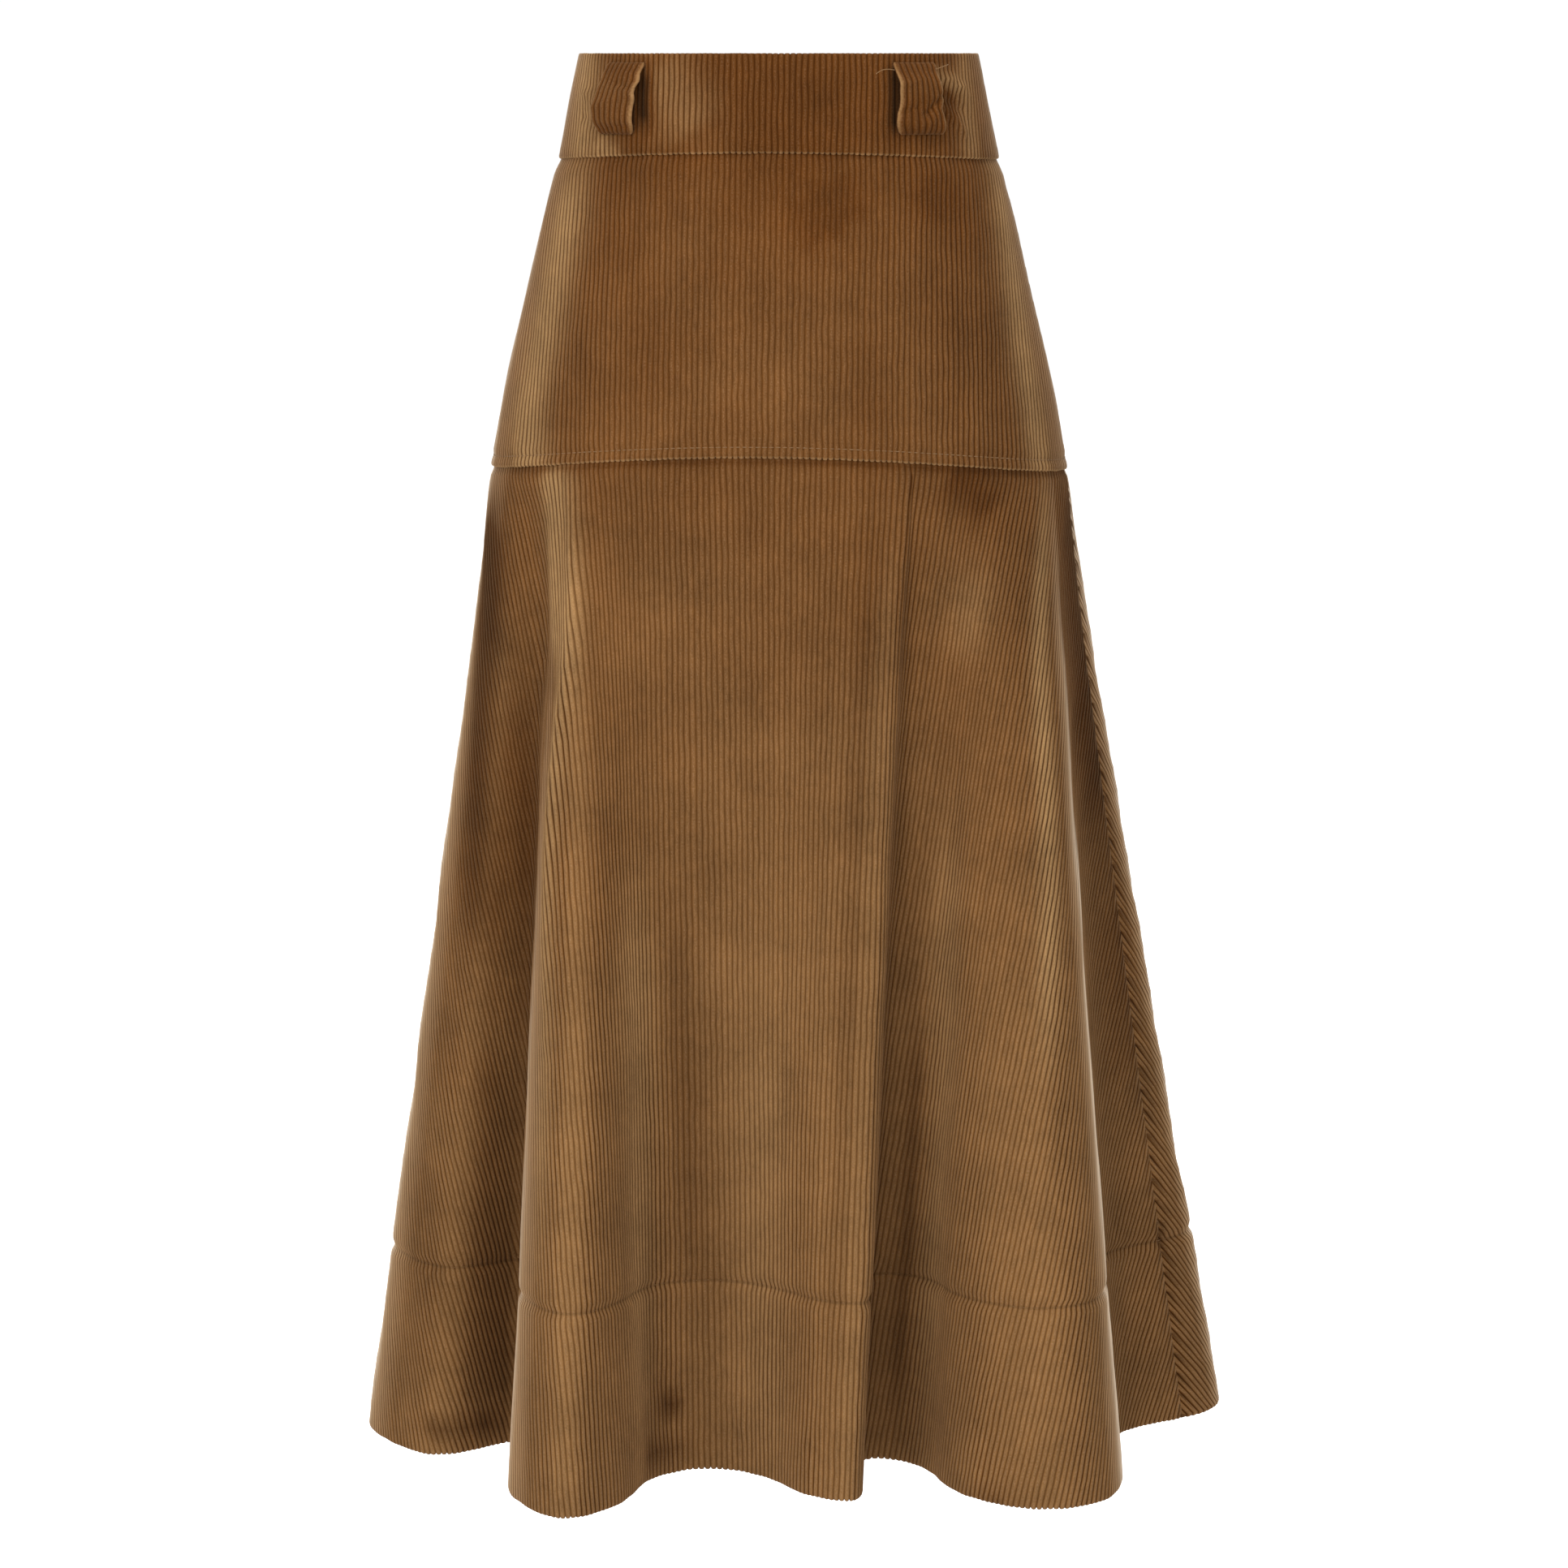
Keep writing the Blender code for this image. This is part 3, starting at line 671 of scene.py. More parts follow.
# ----------------------------------------------------------- the cloth pieces
def panel_cloth(first_row, last_row, upright, seed):
    """A lower panel between two seams, with its grain upright at an angle."""
    starts, girth = flare_starts()
    first, last = starts[first_row], starts[last_row]
    if last < first:
        first -= girth
    first, last = first - SEAM_TOUCH, last + SEAM_TOUCH
    places = np.linspace(first, last, SAMPLES)
    tops, feet = flare_point(places, 0.0, 0.0), flare_point(places, 1.0, 0.0)
    grain = int(np.argmin(np.abs(flare_lines(places)[0] - upright)))
    flat_top, flat_foot = lay_flat(tops, feet, grain)

    def across(_, v):
        return flat_top[:, 0] + (flat_foot[:, 0] - flat_top[:, 0]) * v

    cloth = Cloth(flare_point, first, last, across, PANEL_LENGTH, seed, PANEL_RIPPLE)
    cloth.outline = np.concatenate([flat_top, flat_foot[::-1]])
    run = np.gradient(feet[:, :2], places, axis=0)
    turn = np.gradient(np.unwrap(np.arctan2(run[:, 1], run[:, 0])), places)
    window = bell(np.linspace(-2, 2, BEND_WINDOW))
    cloth.bends = np.convolve(turn * BEND_RADIUS, window / window.sum(), "same")
    views = np.linspace(0.0, 2 * math.pi, VIEWS, endpoint=False)
    views = np.stack([np.cos(views), np.sin(views)])
    whole = flare_point(np.linspace(0.0, girth, SAMPLES), 1.0, 0.0)[:, :2]
    cloth.depths = ((whole @ views).max(0) - feet[:, :2] @ views).min(1)
    return cloth


def make_panel(name, cloth, materials):
    """Make a lower panel with its turned-up hem."""
    length = PANEL_LENGTH
    fold, behind = 1 - CLOTH / length, STITCHES - 0.001 / length
    rows = [row_at(-LAP / length, rib=0.3, free=0.0), row_at(-0.002 / length, rib=0.4, free=0.0)]
    for down in PANEL_TOP_ROWS:
        out = PANEL_PROUD * smooth(down / PANEL_SPRING) * (1 - smooth(down / PANEL_SETTLE))
        rows.append(row_at(down / length, out=out, rib=0.6 + 0.4 * smooth(down / 0.006),
                           free=smooth(down / 0.02)))
    middle = steps(PANEL_TOP_ROWS[-1] / length, STITCHES + HEM_ROWS[0] / length, ROW_STEP / length)
    rows += [row_at(v, out=PANEL_PROUD * (1 - smooth(v * length / PANEL_SETTLE))) for v in middle]
    rows += [row_at(STITCHES + offset / length, press=-HEM_PRESS * bell(offset / HEM_PRESS_REACH))
             for offset in HEM_ROWS]
    rows += [row_at(v) for v in steps(STITCHES + HEM_ROWS[-1] / length, fold, ROW_STEP / length)]
    rows += rolled_edge(fold, CLOTH, 0.0, HEM_TURN, 1.0, 0.5)
    rows += [row_at(v, out=-2 * CLOTH, rib=0.8, lean=math.pi)
             for v in steps(fold, STITCHES, BACK_STEP / length) + [STITCHES]]
    back = [row_at(behind, out=-CLOTH - HEM_PRESS)]
    back += [row_at(v, out=-CLOTH) for v in steps(behind, 0.0, BACK_STEP / length) + [0.0]]
    back += [row_at(-LAP / length, out=-CLOTH, free=0.0)]
    return ribbed_shell(name, cloth, rows, back, materials)


def body_cloth(first, last, centre, top, bottom, seed, ripple):
    """A band or yoke piece between two angles, with its grain upright at the centre."""
    gaps = [(SEAM / 2 if end == 180 else -SEAM_TOUCH) / SECTIONS[0][2] for end in (first, last)]
    first, last, centre = math.radians(first) + gaps[0], math.radians(last) - gaps[1], math.radians(centre)

    def point(angle, v, out):
        start = edge_drop(top, angle)
        return body_point(angle, start + v * (edge_drop(bottom, angle) - start), out)

    def across(angle, v):
        level = point(angle, v, 0.0)
        length = np.concatenate([[0.0], np.cumsum(np.linalg.norm(np.diff(level, axis=0), axis=1))])
        return length - np.interp(centre, angle, length)

    height = sum(bottom.values()) / 2 - sum(top.values()) / 2
    cloth = Cloth(point, first, last, across, height, seed, ripple)
    rows = [np.column_stack([cloth.level(v), np.full(SAMPLES, v * height)]) for v in (0.0, 1.0)]
    cloth.outline = np.concatenate([rows[0], rows[1][::-1]])
    return cloth


def make_yoke(name, cloth, materials):
    """Make a yoke piece: tucked under the band, its lower edge turned and stitched."""
    height = cloth.height
    top, last, edge = YOKE_TOP_ROWS[-1] / height, 1 - YOKE_TURNING / height, 1 - YOKE_ROLL / height
    rows = [row_at(-LAP / height, out=TUCKED, rib=0.3, free=0.0),
            row_at(-0.001 / height, out=TUCKED, rib=0.5, free=0.0)]
    rows += [row_at(down / height, out=TUCKED * (1 - smooth((down + 0.003) / 0.013)))
             for down in YOKE_TOP_ROWS]
    rows += [row_at(v) for v in steps(top, last, YOKE_STEP / height) + [last]]
    for up in YOKE_EDGE_ROWS:
        sewn = bell((up - YOKE_STITCH) / YOKE_PRESS_REACH)
        rows.append(row_at(1 - up / height, out=YOKE_PROUD * smooth((YOKE_TURNING - up) / 0.008),
                           rib=1 - 0.35 * sewn, press=-YOKE_PRESS * sewn))
    rows += rolled_edge(edge, YOKE_ROLL, YOKE_PROUD, EDGE_TURN, 1.0, 0.7, EDGE_PAINTED_HIGHLIGHT)
    back = [row_at(edge, out=YOKE_PROUD - 2 * YOKE_ROLL), row_at(last, out=-CLOTH)]
    back += [row_at(v, out=-CLOTH) for v in steps(last, top, 2 * YOKE_STEP / height) + [top]]
    back += [row_at(v, out=TUCKED - CLOTH, free=0.0) for v in (0.0, -LAP / height)]
    return ribbed_shell(name, cloth, rows, back, materials)


def make_band(name, cloth, materials):
    """Make a waistband piece with its rolled top edge and turned lower edge."""
    height = cloth.height
    top, bottom = BAND_ROLL / height, 1 - BAND_ROLL / height
    rows = rolled_edge(top, BAND_ROLL, 0.0, BAND_TOP_TURN, 0.7, 0.0, free=0.0)
    for v in steps(top, bottom, BAND_STEP / height):
        proud = BAND_PROUD * smooth((v - 0.72) / 0.22) + BAND_CROWN * math.sin(math.pi * v)
        rows.append(row_at(v, out=proud, free=smooth(v / 0.3)))
    rows += rolled_edge(bottom, BAND_ROLL, BAND_PROUD, EDGE_TURN, 0.8, 0.8, EDGE_PAINTED_HIGHLIGHT, free=0.5)
    back = [row_at(bottom, out=BAND_PROUD - 2 * BAND_ROLL - SEAM, free=0.5)]
    back += [row_at(v, out=-BAND_CLOTH) for v in (0.8, 0.6, 0.4, 0.2)]
    back += [row_at(top, out=-BAND_CLOTH, free=0.0)]
    return ribbed_shell(name, cloth, rows, back, materials)


def flat_size(cloth, before, after):
    """Width, length and area of a piece's cut, with allowances above and below it."""
    x, y = cloth.outline.T
    width, length = np.ptp(x), np.ptp(y) + before + after
    area = 0.5 * abs(np.dot(x, np.roll(y, -1)) - np.dot(y, np.roll(x, -1)))
    edges = (cloth.outline[:SAMPLES], before), (cloth.outline[SAMPLES:], after)
    area += sum(np.linalg.norm(np.diff(edge, axis=0), axis=1).sum() * lap for edge, lap in edges)
    return (width, length), min(area, width * length)


# ------------------------------------------------------------ belt loops, zip
# Down each loop: share of its height, how far it stands off the band, and how far
# its two edges stray from straight. All but the share are in millimetres.
LOOP_SHAPES = {
    "front_right": (
        (0.00, 0.2, 0.0, 0.0), (0.07, 1.4, 0.0, 0.0), (0.15, 3.2, 0.3, -0.3), (0.27, 4.8, 0.2, 0.6),
        (0.37, 6.2, -0.2, -1.3), (0.48, 6.9, -0.6, 0.2), (0.60, 7.2, -1.6, 0.4), (0.72, 6.8, -1.4, 0.2),
        (0.84, 5.2, -0.8, 0.0), (0.93, 2.4, 0.3, -0.6), (1.00, 0.2, 0.8, -1.6),
    ),
    "front_left": (
        (0.00, 0.2, 0.0, 0.3), (0.06, 1.2, 0.2, 0.2), (0.13, 2.8, 0.3, -0.9), (0.25, 5.2, 0.6, -1.0),
        (0.40, 5.4, 0.2, 0.0), (0.52, 4.6, 0.0, 0.4), (0.63, 3.8, -0.8, -1.6), (0.72, 3.6, -2.0, -0.4),
        (0.82, 3.8, -3.3, 0.2), (0.92, 2.6, -2.9, 0.6), (1.00, 0.2, -1.2, 0.4),
    ),
    "back_left": (
        (0.00, 0.2, 0.0, 0.0), (0.10, 2.0, 0.4, -0.2), (0.25, 4.6, 0.0, 0.6), (0.45, 6.0, -0.8, 0.2),
        (0.60, 5.8, -0.2, -0.9), (0.78, 5.0, 0.4, 0.2), (0.92, 2.2, 0.0, 0.4), (1.00, 0.2, 0.2, 0.0),
    ),
    "back_right": (
        (0.00, 0.2, 0.2, 0.0), (0.10, 2.2, 0.0, -0.4), (0.25, 4.2, 0.8, 0.2), (0.45, 5.4, 0.2, 0.9),
        (0.62, 6.2, -0.6, 0.4), (0.78, 4.8, 0.0, -0.6), (0.92, 2.0, -0.4, 0.2), (1.00, 0.2, 0.0, 0.0),
    ),
}
# Folds pressed into each loop: from and to (share of width, share of height), width, depth in mm
LOOP_FOLDS = {
    "front_right": (((0.50, 0.38), (0.05, 0.30), 1.6, -1.1), ((-0.5, 0.62), (0.0, 0.52), 2.6, 0.7),
                    ((-0.45, 0.93), (0.45, 0.88), 1.3, -0.6)),
    "front_left": (((0.55, 0.44), (0.05, 0.72), 1.5, -1.7), ((0.5, 0.62), (0.1, 0.86), 2.4, 0.9),
                   ((-0.5, 0.30), (0.1, 0.22), 2.2, 0.6), ((-0.5, 0.70), (-0.1, 0.62), 1.8, -0.8)),
    "back_left": (((-0.5, 0.42), (0.1, 0.55), 1.8, -0.9),),
    "back_right": (((0.5, 0.58), (-0.1, 0.40), 1.8, -1.0),),
}
LOOP_ROWS = 46
LOOP_END_ROUND = 0.04  # share of its height over which a loop's ends grow thin
LOOP_END_FLAT = 0.12  # share of its height at each end over which its folds fade
LOOP_TURN = (25, 60, 90, 120, 155)  # degrees
LOOP_BACK_END, LOOP_BACK_COLUMNS = 0.48, 9  # share of its width, and columns across its back
LOOP_OFF = 0.0004  # least distance off the band, over the seam's gap
LOOP_TURNED_IN = 0.008  # of the strip's length, sewn in at its two ends
LOOP_DEPTH = 0.05  # the fold depth that a loop counts as
ARC = 0.01  # radians over which the body's radius is measured


def loop_crush(folds, side, level):
    """How far the folds pressed into a loop move its points at a level."""
    size = np.array([LOOP_WIDTH, LOOP_BOTTOM - LOOP_TOP])
    spot = np.column_stack([side, np.full_like(side, level)]) * size
    fade = smooth(min(level, 1 - level) / LOOP_END_FLAT)
    crush = np.zeros_like(side)
    for first, last, width, depth in folds:
        start, end = np.array(first) * size, np.array(last) * size
        part = np.clip((spot - start) @ (end - start) / np.dot(end - start, end - start), 0, 1)
        away = np.linalg.norm(spot - start - part[:, None] * (end - start), axis=1)
        crush += depth * 0.001 * bell(away / (width * 0.001)) * fade
    return crush


def make_loop(name, middle, shape, folds, materials):
    """Make one crumpled belt loop, a flattened tube of ribbed cloth."""
    middle = math.radians(middle)
    table = np.array(shape)
    level = np.linspace(0.0, 1.0, LOOP_ROWS)
    rise, left, right = (spline(level, table[:, 0], table[:, 1:]) * 0.001).T
    drop = LOOP_TOP + level * (LOOP_BOTTOM - LOOP_TOP)
    ahead = body_point(middle + ARC, drop, 0.0) - body_point(middle, drop, 0.0)
    radius = np.linalg.norm(ahead, axis=1) / ARC
    columns = column_x(columns_between(-LOOP_WIDTH / 2, LOOP_WIDTH / 2))
    face, turn = columns / LOOP_WIDTH, np.radians(LOOP_TURN)
    behind = np.linspace(LOOP_BACK_END, -LOOP_BACK_END, LOOP_BACK_COLUMNS)
    side = np.concatenate([face, np.full(len(turn), 0.5), behind, np.full(len(turn), -0.5)])
    bulge = np.concatenate([0 * face, np.sin(turn), 0 * behind, -np.sin(turn)])
    lift = np.concatenate([0 * face + 1, np.cos(turn), 0 * behind - 1, -np.cos(turn)])
    ribs = np.concatenate([rib_height(columns), np.zeros(len(side) - len(face))])
    half = LOOP_CLOTH / 2
    thick = half * np.sqrt(np.clip(np.minimum(level, 1 - level) / LOOP_END_ROUND, 0.05, 1.0))
    shell, rings = Shell(), []
    for i in range(LOOP_ROWS):
        edge = np.where(side < 0, left[i] * -2 * side, right[i] * 2 * side)
        across = side * LOOP_WIDTH + edge + bulge * thick[i]
        out = SEAM + half + LOOP_OFF + rise[i] + loop_crush(folds, side, level[i])
        out = out + lift * thick[i] + ribs * thick[i] / half
        angle, drops = middle + across / radius[i], np.full_like(side, drop[i])
        points = body_point(angle, drops, out)
        lifted = smooth(rise[i] / 0.006)
        # Painted light and shade on the loop: darker on its face, much darker on its back, lighter where it
        # stands off the band and along its turned edges
        brush = np.where(lift > 0, 0.3 * lifted - 0.25 + 0.6 * (np.abs(bulge) > 0), -1.0)
        facing = body_point(angle, drops, out + 0.001) - points
        marks = [side * LOOP_WIDTH / WALE, drops, 0 * side, np.full_like(side, LOOP_DEPTH), brush, facing]
        rings.append(shell.add(points, np.column_stack(marks)))
    shell.close_tube(rings)
    return shell.finish(name, materials)


TAPE_ROWS = 60
TAPE_DEEPER = 0.0004  # the tape lies this much deeper than its solid
TAPE_RIDGE = 0.0007
# Across the tape: place as a share of half its width, thickness and ridge as shares of the full
TAPE_PROFILE = (
    (-1, 0.3, 0), (-0.96, 1, 0), (-0.5, 1, 0), (-0.22, 1, 0), (-0.12, 1, 1), (0, 0.6, 0.2),
    (0.12, 1, 1), (0.22, 1, 0), (0.5, 1, 0), (0.96, 1, 0), (1, 0.3, 0),
)
COIL_TOP, COIL_END = 0.014, 0.004
COIL_PITCH, COIL_RADIUS, COIL_SPREAD = 0.0013, 0.00075, 0.0006
COIL_STITCH, COIL_GAP = COIL_PITCH * 0.7, COIL_PITCH * 0.3


def tape_depth(drop):
    """How far inside the body form the zip's tape lies."""
    band = BAND_DROP["centre"]
    layers = BAND_CLOTH + SEAM + CLOTH
    corners = (ZIP_TOP, band - 3 * LAP, band - LAP - 2 * SEAM, band, band + EASE_BELOW_BAND, ZIP_BOTTOM)
    return np.interp(drop, corners, (BAND_CLOTH, BAND_CLOTH, layers, layers, CLOTH, CLOTH)) + SEAM


def make_zip_tape(materials):
    """Make the zip's two tapes as one woven strip with a corded middle."""
    place, thick, cord = np.array(TAPE_PROFILE, float).T
    across, thick, cord = place * ZIP_TAPE_WIDTH / 2, thick * ZIP_TAPE_CLOTH, cord * TAPE_RIDGE
    angle = math.pi + across / SECTIONS[0][1]
    shell, rows = Shell(), []
    for drop in np.linspace(ZIP_TOP, ZIP_BOTTOM, TAPE_ROWS):
        depth = tape_depth(drop) + TAPE_DEEPER
        mark = np.column_stack([across / WALE, np.full(len(across), drop)])
        outer = shell.add(body_point(angle, drop, -depth - (ZIP_TAPE_CLOTH - thick) / 2), mark)
        inner = shell.add(body_point(angle, drop, -depth - (ZIP_TAPE_CLOTH + thick) / 2 - cord), mark)
        rows.append(np.concatenate([outer, inner[::-1]]))
    shell.close_tube(rows)
    return shell.finish("zip_tape_cloth", materials)


def directions(ends, starts):
    """Unit vectors from starts to ends."""
    away = ends - starts
    return away / np.linalg.norm(away, axis=1, keepdims=True)


def coil_lines():
    """The two rows of the zip's coil, as lines that point into the garment."""
    drops = np.linspace(COIL_TOP, ZIP_BOTTOM - COIL_END, TAPE_ROWS)
    depth = tape_depth(drops) + TAPE_DEEPER + ZIP_TAPE_CLOTH + COIL_RADIUS / 2
    lines = []
    for side in (-1, 1):
        angle = np.full(TAPE_ROWS, math.pi + side * COIL_SPREAD / SECTIONS[0][1])
        points = body_point(angle, drops + side * COIL_PITCH / 4, -depth)
        inward = directions(body_point(angle, drops, -depth - 0.001), body_point(angle, drops, -depth))
        lines.append((points, inward))
    return lines


# Loose thread ends: body angle in radians, drop and distance off the band in metres
LOOSE_ENDS = (
    ((0.535, 0.0118, 0.0030), (0.560, 0.0098, 0.0045), (0.590, 0.0090, 0.0060), (0.630, 0.0095, 0.0052)),
    ((0.880, 0.0090, 0.0060), (0.915, 0.0076, 0.0078), (0.955, 0.0064, 0.0080)),
)
LOOSE_RADIUS = 0.00028
LOOSE_SIDES, LOOSE_ROWS = 6, 16


def make_loose_ends(materials):
    """Make the loose thread ends as thin tubes."""
    shell = Shell()
    turns = np.linspace(0.0, 2 * math.pi, LOOSE_SIDES, endpoint=False)[:, None]
    for knots in map(np.array, LOOSE_ENDS):
        line = spline(np.linspace(0.0, len(knots) - 1, LOOSE_ROWS), np.arange(len(knots)), knots)
        middle = body_point(*line.T)
        along = np.gradient(middle, axis=0)
        along /= np.linalg.norm(along, axis=1, keepdims=True)
        side = np.cross(along, (0.0, 0.0, 1.0))
        side /= np.linalg.norm(side, axis=1, keepdims=True)
        above = np.cross(side, along)
        rounds = [LOOSE_RADIUS * (np.cos(turns) * side[i] + np.sin(turns) * above[i])
                  for i in range(LOOSE_ROWS)]
        marks = np.zeros((LOOSE_SIDES, 2))
        shell.close_tube([shell.add(spot + offsets, marks) for spot, offsets in zip(middle, rounds)])
    return shell.finish("loose_threads", materials)


# ---------------------------------------------------------------------- nodes
def fill(tree, made, inputs):
    """Set a node's inputs; a socket given as an input is linked."""
    for key, value in inputs.items():
        if isinstance(value, bpy.types.NodeSocket):
            tree.links.new(value, made.inputs[key])
        else:
            made.inputs[key].default_value = value


def node(tree, kind, inputs=None, **settings):
    """Add a node, set its options and its inputs."""
    made = tree.nodes.new(kind)
    for name, value in settings.items():
        setattr(made, name, value)
    fill(tree, made, inputs or {})
    return made


def value_node(tree, operation, first, second=0.0, clamp=False):
    """A Math node's output."""
    made = node(tree, "ShaderNodeMath", {0: first, 1: second}, operation=operation, use_clamp=clamp)
    return made.outputs[0]


def times(tree, first, second):
    """The product of two values."""
    return value_node(tree, "MULTIPLY", first, second)


def plus(tree, first, second, clamp=False):
    """The sum of two values."""
    return value_node(tree, "ADD", first, second, clamp)


def less(tree, first, second):
    """The first value less the second."""
    return value_node(tree, "SUBTRACT", first, second)


def scaled(tree, vector, size):
    """A vector or a colour multiplied by a size."""
    return node(tree, "ShaderNodeVectorMath", {0: vector, "Scale": size}, operation="SCALE").outputs[0]


def new_group(name, kind, inputs, outputs):
    """A node group with sockets given as name: type, and the outputs of its input node."""
    tree = bpy.data.node_groups.new(name, kind)
    for way, sockets in (("INPUT", inputs), ("OUTPUT", outputs)):
        for key, value in sockets.items():
            tree.interface.new_socket(key, in_out=way, socket_type=f"NodeSocket{value}")
    return tree, node(tree, "NodeGroupInput").outputs


def stitch_row_tree():
    """A tree that sews even stitches along a line that carries its outward direction."""
    sockets = {"Geometry": "Geometry", "Stitch length": "Float", "Gap": "Float", "Thread radius": "Float",
               "Sink": "Float", "Unevenness": "Float", "Seed": "Int", "Thread": "Material"}
    tree, given = new_group("stitch_row", "GeometryNodeTree", sockets, {"Geometry": "Geometry"})

    def step(kind, inputs=None, **settings):
        return node(tree, kind, inputs, **settings).outputs[0]

    length, radius, uneven = given["Stitch length"], given["Thread radius"], given["Unevenness"]
    line = step("GeometryNodeMeshToCurve", {"Mesh": given["Geometry"]})
    pitch = plus(tree, length, given["Gap"])
    spots = step("GeometryNodeResampleCurve", {"Curve": line, "Length": pitch}, mode="LENGTH")
    outward = step("GeometryNodeInputNamedAttribute", {"Name": "outward"}, data_type="FLOAT_VECTOR")
    tangent = step("GeometryNodeInputTangent")
    along = step("FunctionNodeAlignRotationToVector", {"Vector": tangent}, axis="X")
    turned = step("FunctionNodeAlignRotationToVector", {"Rotation": along, "Vector": outward},
                  axis="Z", pivot_axis="X")
    size = step("ShaderNodeCombineXYZ", {0: times(tree, length, 0.5), 1: radius, 2: radius})
    stitch = step("GeometryNodeMeshUVSphere", {"Segments": 8, "Rings": 6, "Radius": 1.0})
    lying = step("GeometryNodeTransform", {"Geometry": stitch, "Rotation": (0.0, math.pi / 2, 0.0)})
    sized = step("GeometryNodeTransform", {"Geometry": lying, "Scale": size})
    chance = node(tree, "FunctionNodeRandomValue", {"Seed": given["Seed"]}, data_type="FLOAT")
    for name, limit in (("Min", less(tree, 1.0, uneven)), ("Max", plus(tree, 1.0, uneven))):
        entry = next(entry for entry in chance.inputs if entry.name == name and entry.type == "VALUE")
        tree.links.new(limit, entry)
    rate = next(entry for entry in chance.outputs if entry.type == "VALUE")
    placed = step("GeometryNodeInstanceOnPoints",
                  {"Points": spots, "Instance": sized, "Rotation": turned, "Scale": rate})
    shift = scaled(tree, outward, times(tree, given["Sink"], -1.0))
    moved = step("GeometryNodeSetPosition", {"Geometry": placed, "Offset": shift})
    whole = step("GeometryNodeRealizeInstances", {"Geometry": moved})
    shaded = step("GeometryNodeSetShadeSmooth", {"Geometry": whole})
    painted = step("GeometryNodeSetMaterial", {"Geometry": shaded, "Material": given["Thread"]})
    node(tree, "NodeGroupOutput", {0: painted})
    return tree


def sew(name, tree, lines, **values):
    """Sew rows of stitches along lines given as (points, outward directions)."""
    mesh = bpy.data.meshes.new(name)
    points, directed = (np.concatenate(part) for part in zip(*lines))
    edges, start = [], 0
    for line, _ in lines:
        edges += [(start + i, start + i + 1) for i in range(len(line) - 1)]
        start += len(line)
    mesh.from_pydata(points.tolist(), edges, [])
    outward = mesh.attributes.new("outward", "FLOAT_VECTOR", "POINT")
    outward.data.foreach_set("vector", directed.astype(np.float32).ravel())
    row = put(name, mesh)
    stitches = row.modifiers.new("stitches", "NODES")
    stitches.node_group = tree
    for item in tree.interface.items_tree:
        key = item.name.lower().replace(" ", "_")
        if item.in_out == "INPUT" and key in values:
            stitches[item.identifier] = values[key]
    seen = row.evaluated_get(bpy.context.evaluated_depsgraph_get())
    plain = bpy.data.meshes.new_from_object(seen)
    row.modifiers.clear()
    row.data = plain
    plain.name = name
    plain.materials.clear()
    plain.materials.append(values["thread"])
    return row


LINE_END, LINE_STEP = 0.0004, 0.0012  # a line's distance from the seams, and between its points


def line_on(cloth, v, out):
    """A line along a level of a cloth piece, with its outward directions."""
    level = cloth.level(v)
    x = np.arange(level[0] + LINE_END, level[-1] - LINE_END, LINE_STEP)
    places = np.interp(x, level, cloth.places)
    flat = np.full(len(x), v)
    lift = out + cloth.ripple(x, flat, level[0], level[-1])
    points = cloth.point(places, flat, lift)
    return points, directions(cloth.point(places, flat, lift + 0.001), points)


# ------------------------------------------------------------------ materials
def blend_node(tree, share, first, second):
    """A colour mix's output; a colour is a socket or red, green and blue."""
    first, second = (end if isinstance(end, bpy.types.NodeSocket) else (*end, 1.0) for end in (first, second))
    return node(tree, "ShaderNodeMix", {0: share, 6: first, 7: second}, data_type="RGBA").outputs[2]


def ramp_node(tree, value, low, high, curve="SMOOTHSTEP"):
    """Map a value from low..high to 0..1."""
    made = node(tree, "ShaderNodeMapRange", {"Value": value, "From Min": low, "From Max": high},
                interpolation_type=curve)
    return made.outputs["Result"]


def noise_node(tree, vector, scale, detail=2.0, rough=0.5):
    """A noise texture's value, about 0.5."""
    made = node(tree, "ShaderNodeTexNoise",
                {"Vector": vector, "Scale": scale, "Detail": detail, "Roughness": rough})
    return made.outputs["Fac"]


def nap_group():
    """Shared effect: the mottled shade of brushed pile, from broad patches to single tufts."""
    amounts = {"Tuft": "Float", "Patch": "Float", "Drift": "Float"}
    tree, given = new_group("nap", "ShaderNodeTree", {"Pattern": "Vector", **amounts},
                            {"Shade": "Float", "Tufts": "Float"})
    place = node(tree, "ShaderNodeTexCoord").outputs["Object"]
    noises = {"Drift": noise_node(tree, place, 22.0, 3.0, 0.6)}
    for key, stretch, rough in (("Tuft", (5.0, 900.0, 0.0), 0.62), ("Patch", (1.6, 130.0, 0.0), 0.6)):
        streak = node(tree, "ShaderNodeVectorMath", {0: given["Pattern"], 1: stretch}, operation="MULTIPLY")
        noises[key] = noise_node(tree, streak.outputs[0], 1.0, 3.0, rough)
    total = 1.0
    for key in amounts:
        swing = times(tree, less(tree, noises[key], 0.5), 2.0)
        total = plus(tree, total, times(tree, swing, given[key]))
    node(tree, "NodeGroupOutput", {"Shade": total, "Tufts": noises["Tuft"]})
    return tree


def weave_group():
    """Shared effect: the height of fine threads that run over and under."""
    sockets = {"Pattern": "Vector", "Threads across": "Float", "Threads along": "Float", "Slant": "Float"}
    tree, given = new_group("weave", "ShaderNodeTree", sockets, {"Height": "Float"})
    split = node(tree, "ShaderNodeSeparateXYZ", {0: given["Pattern"]}).outputs
    across = times(tree, split[0], given["Threads across"])
    along = times(tree, split[1], given["Threads along"])
    slanted = plus(tree, across, times(tree, along, given["Slant"]))
    twill, over = (value_node(tree, "SINE", times(tree, way, 2 * math.pi)) for way in (slanted, along))
    height = plus(tree, times(tree, twill, 0.35), times(tree, over, 0.15))
    node(tree, "NodeGroupOutput", {"Height": plus(tree, height, 0.5)})
    return tree


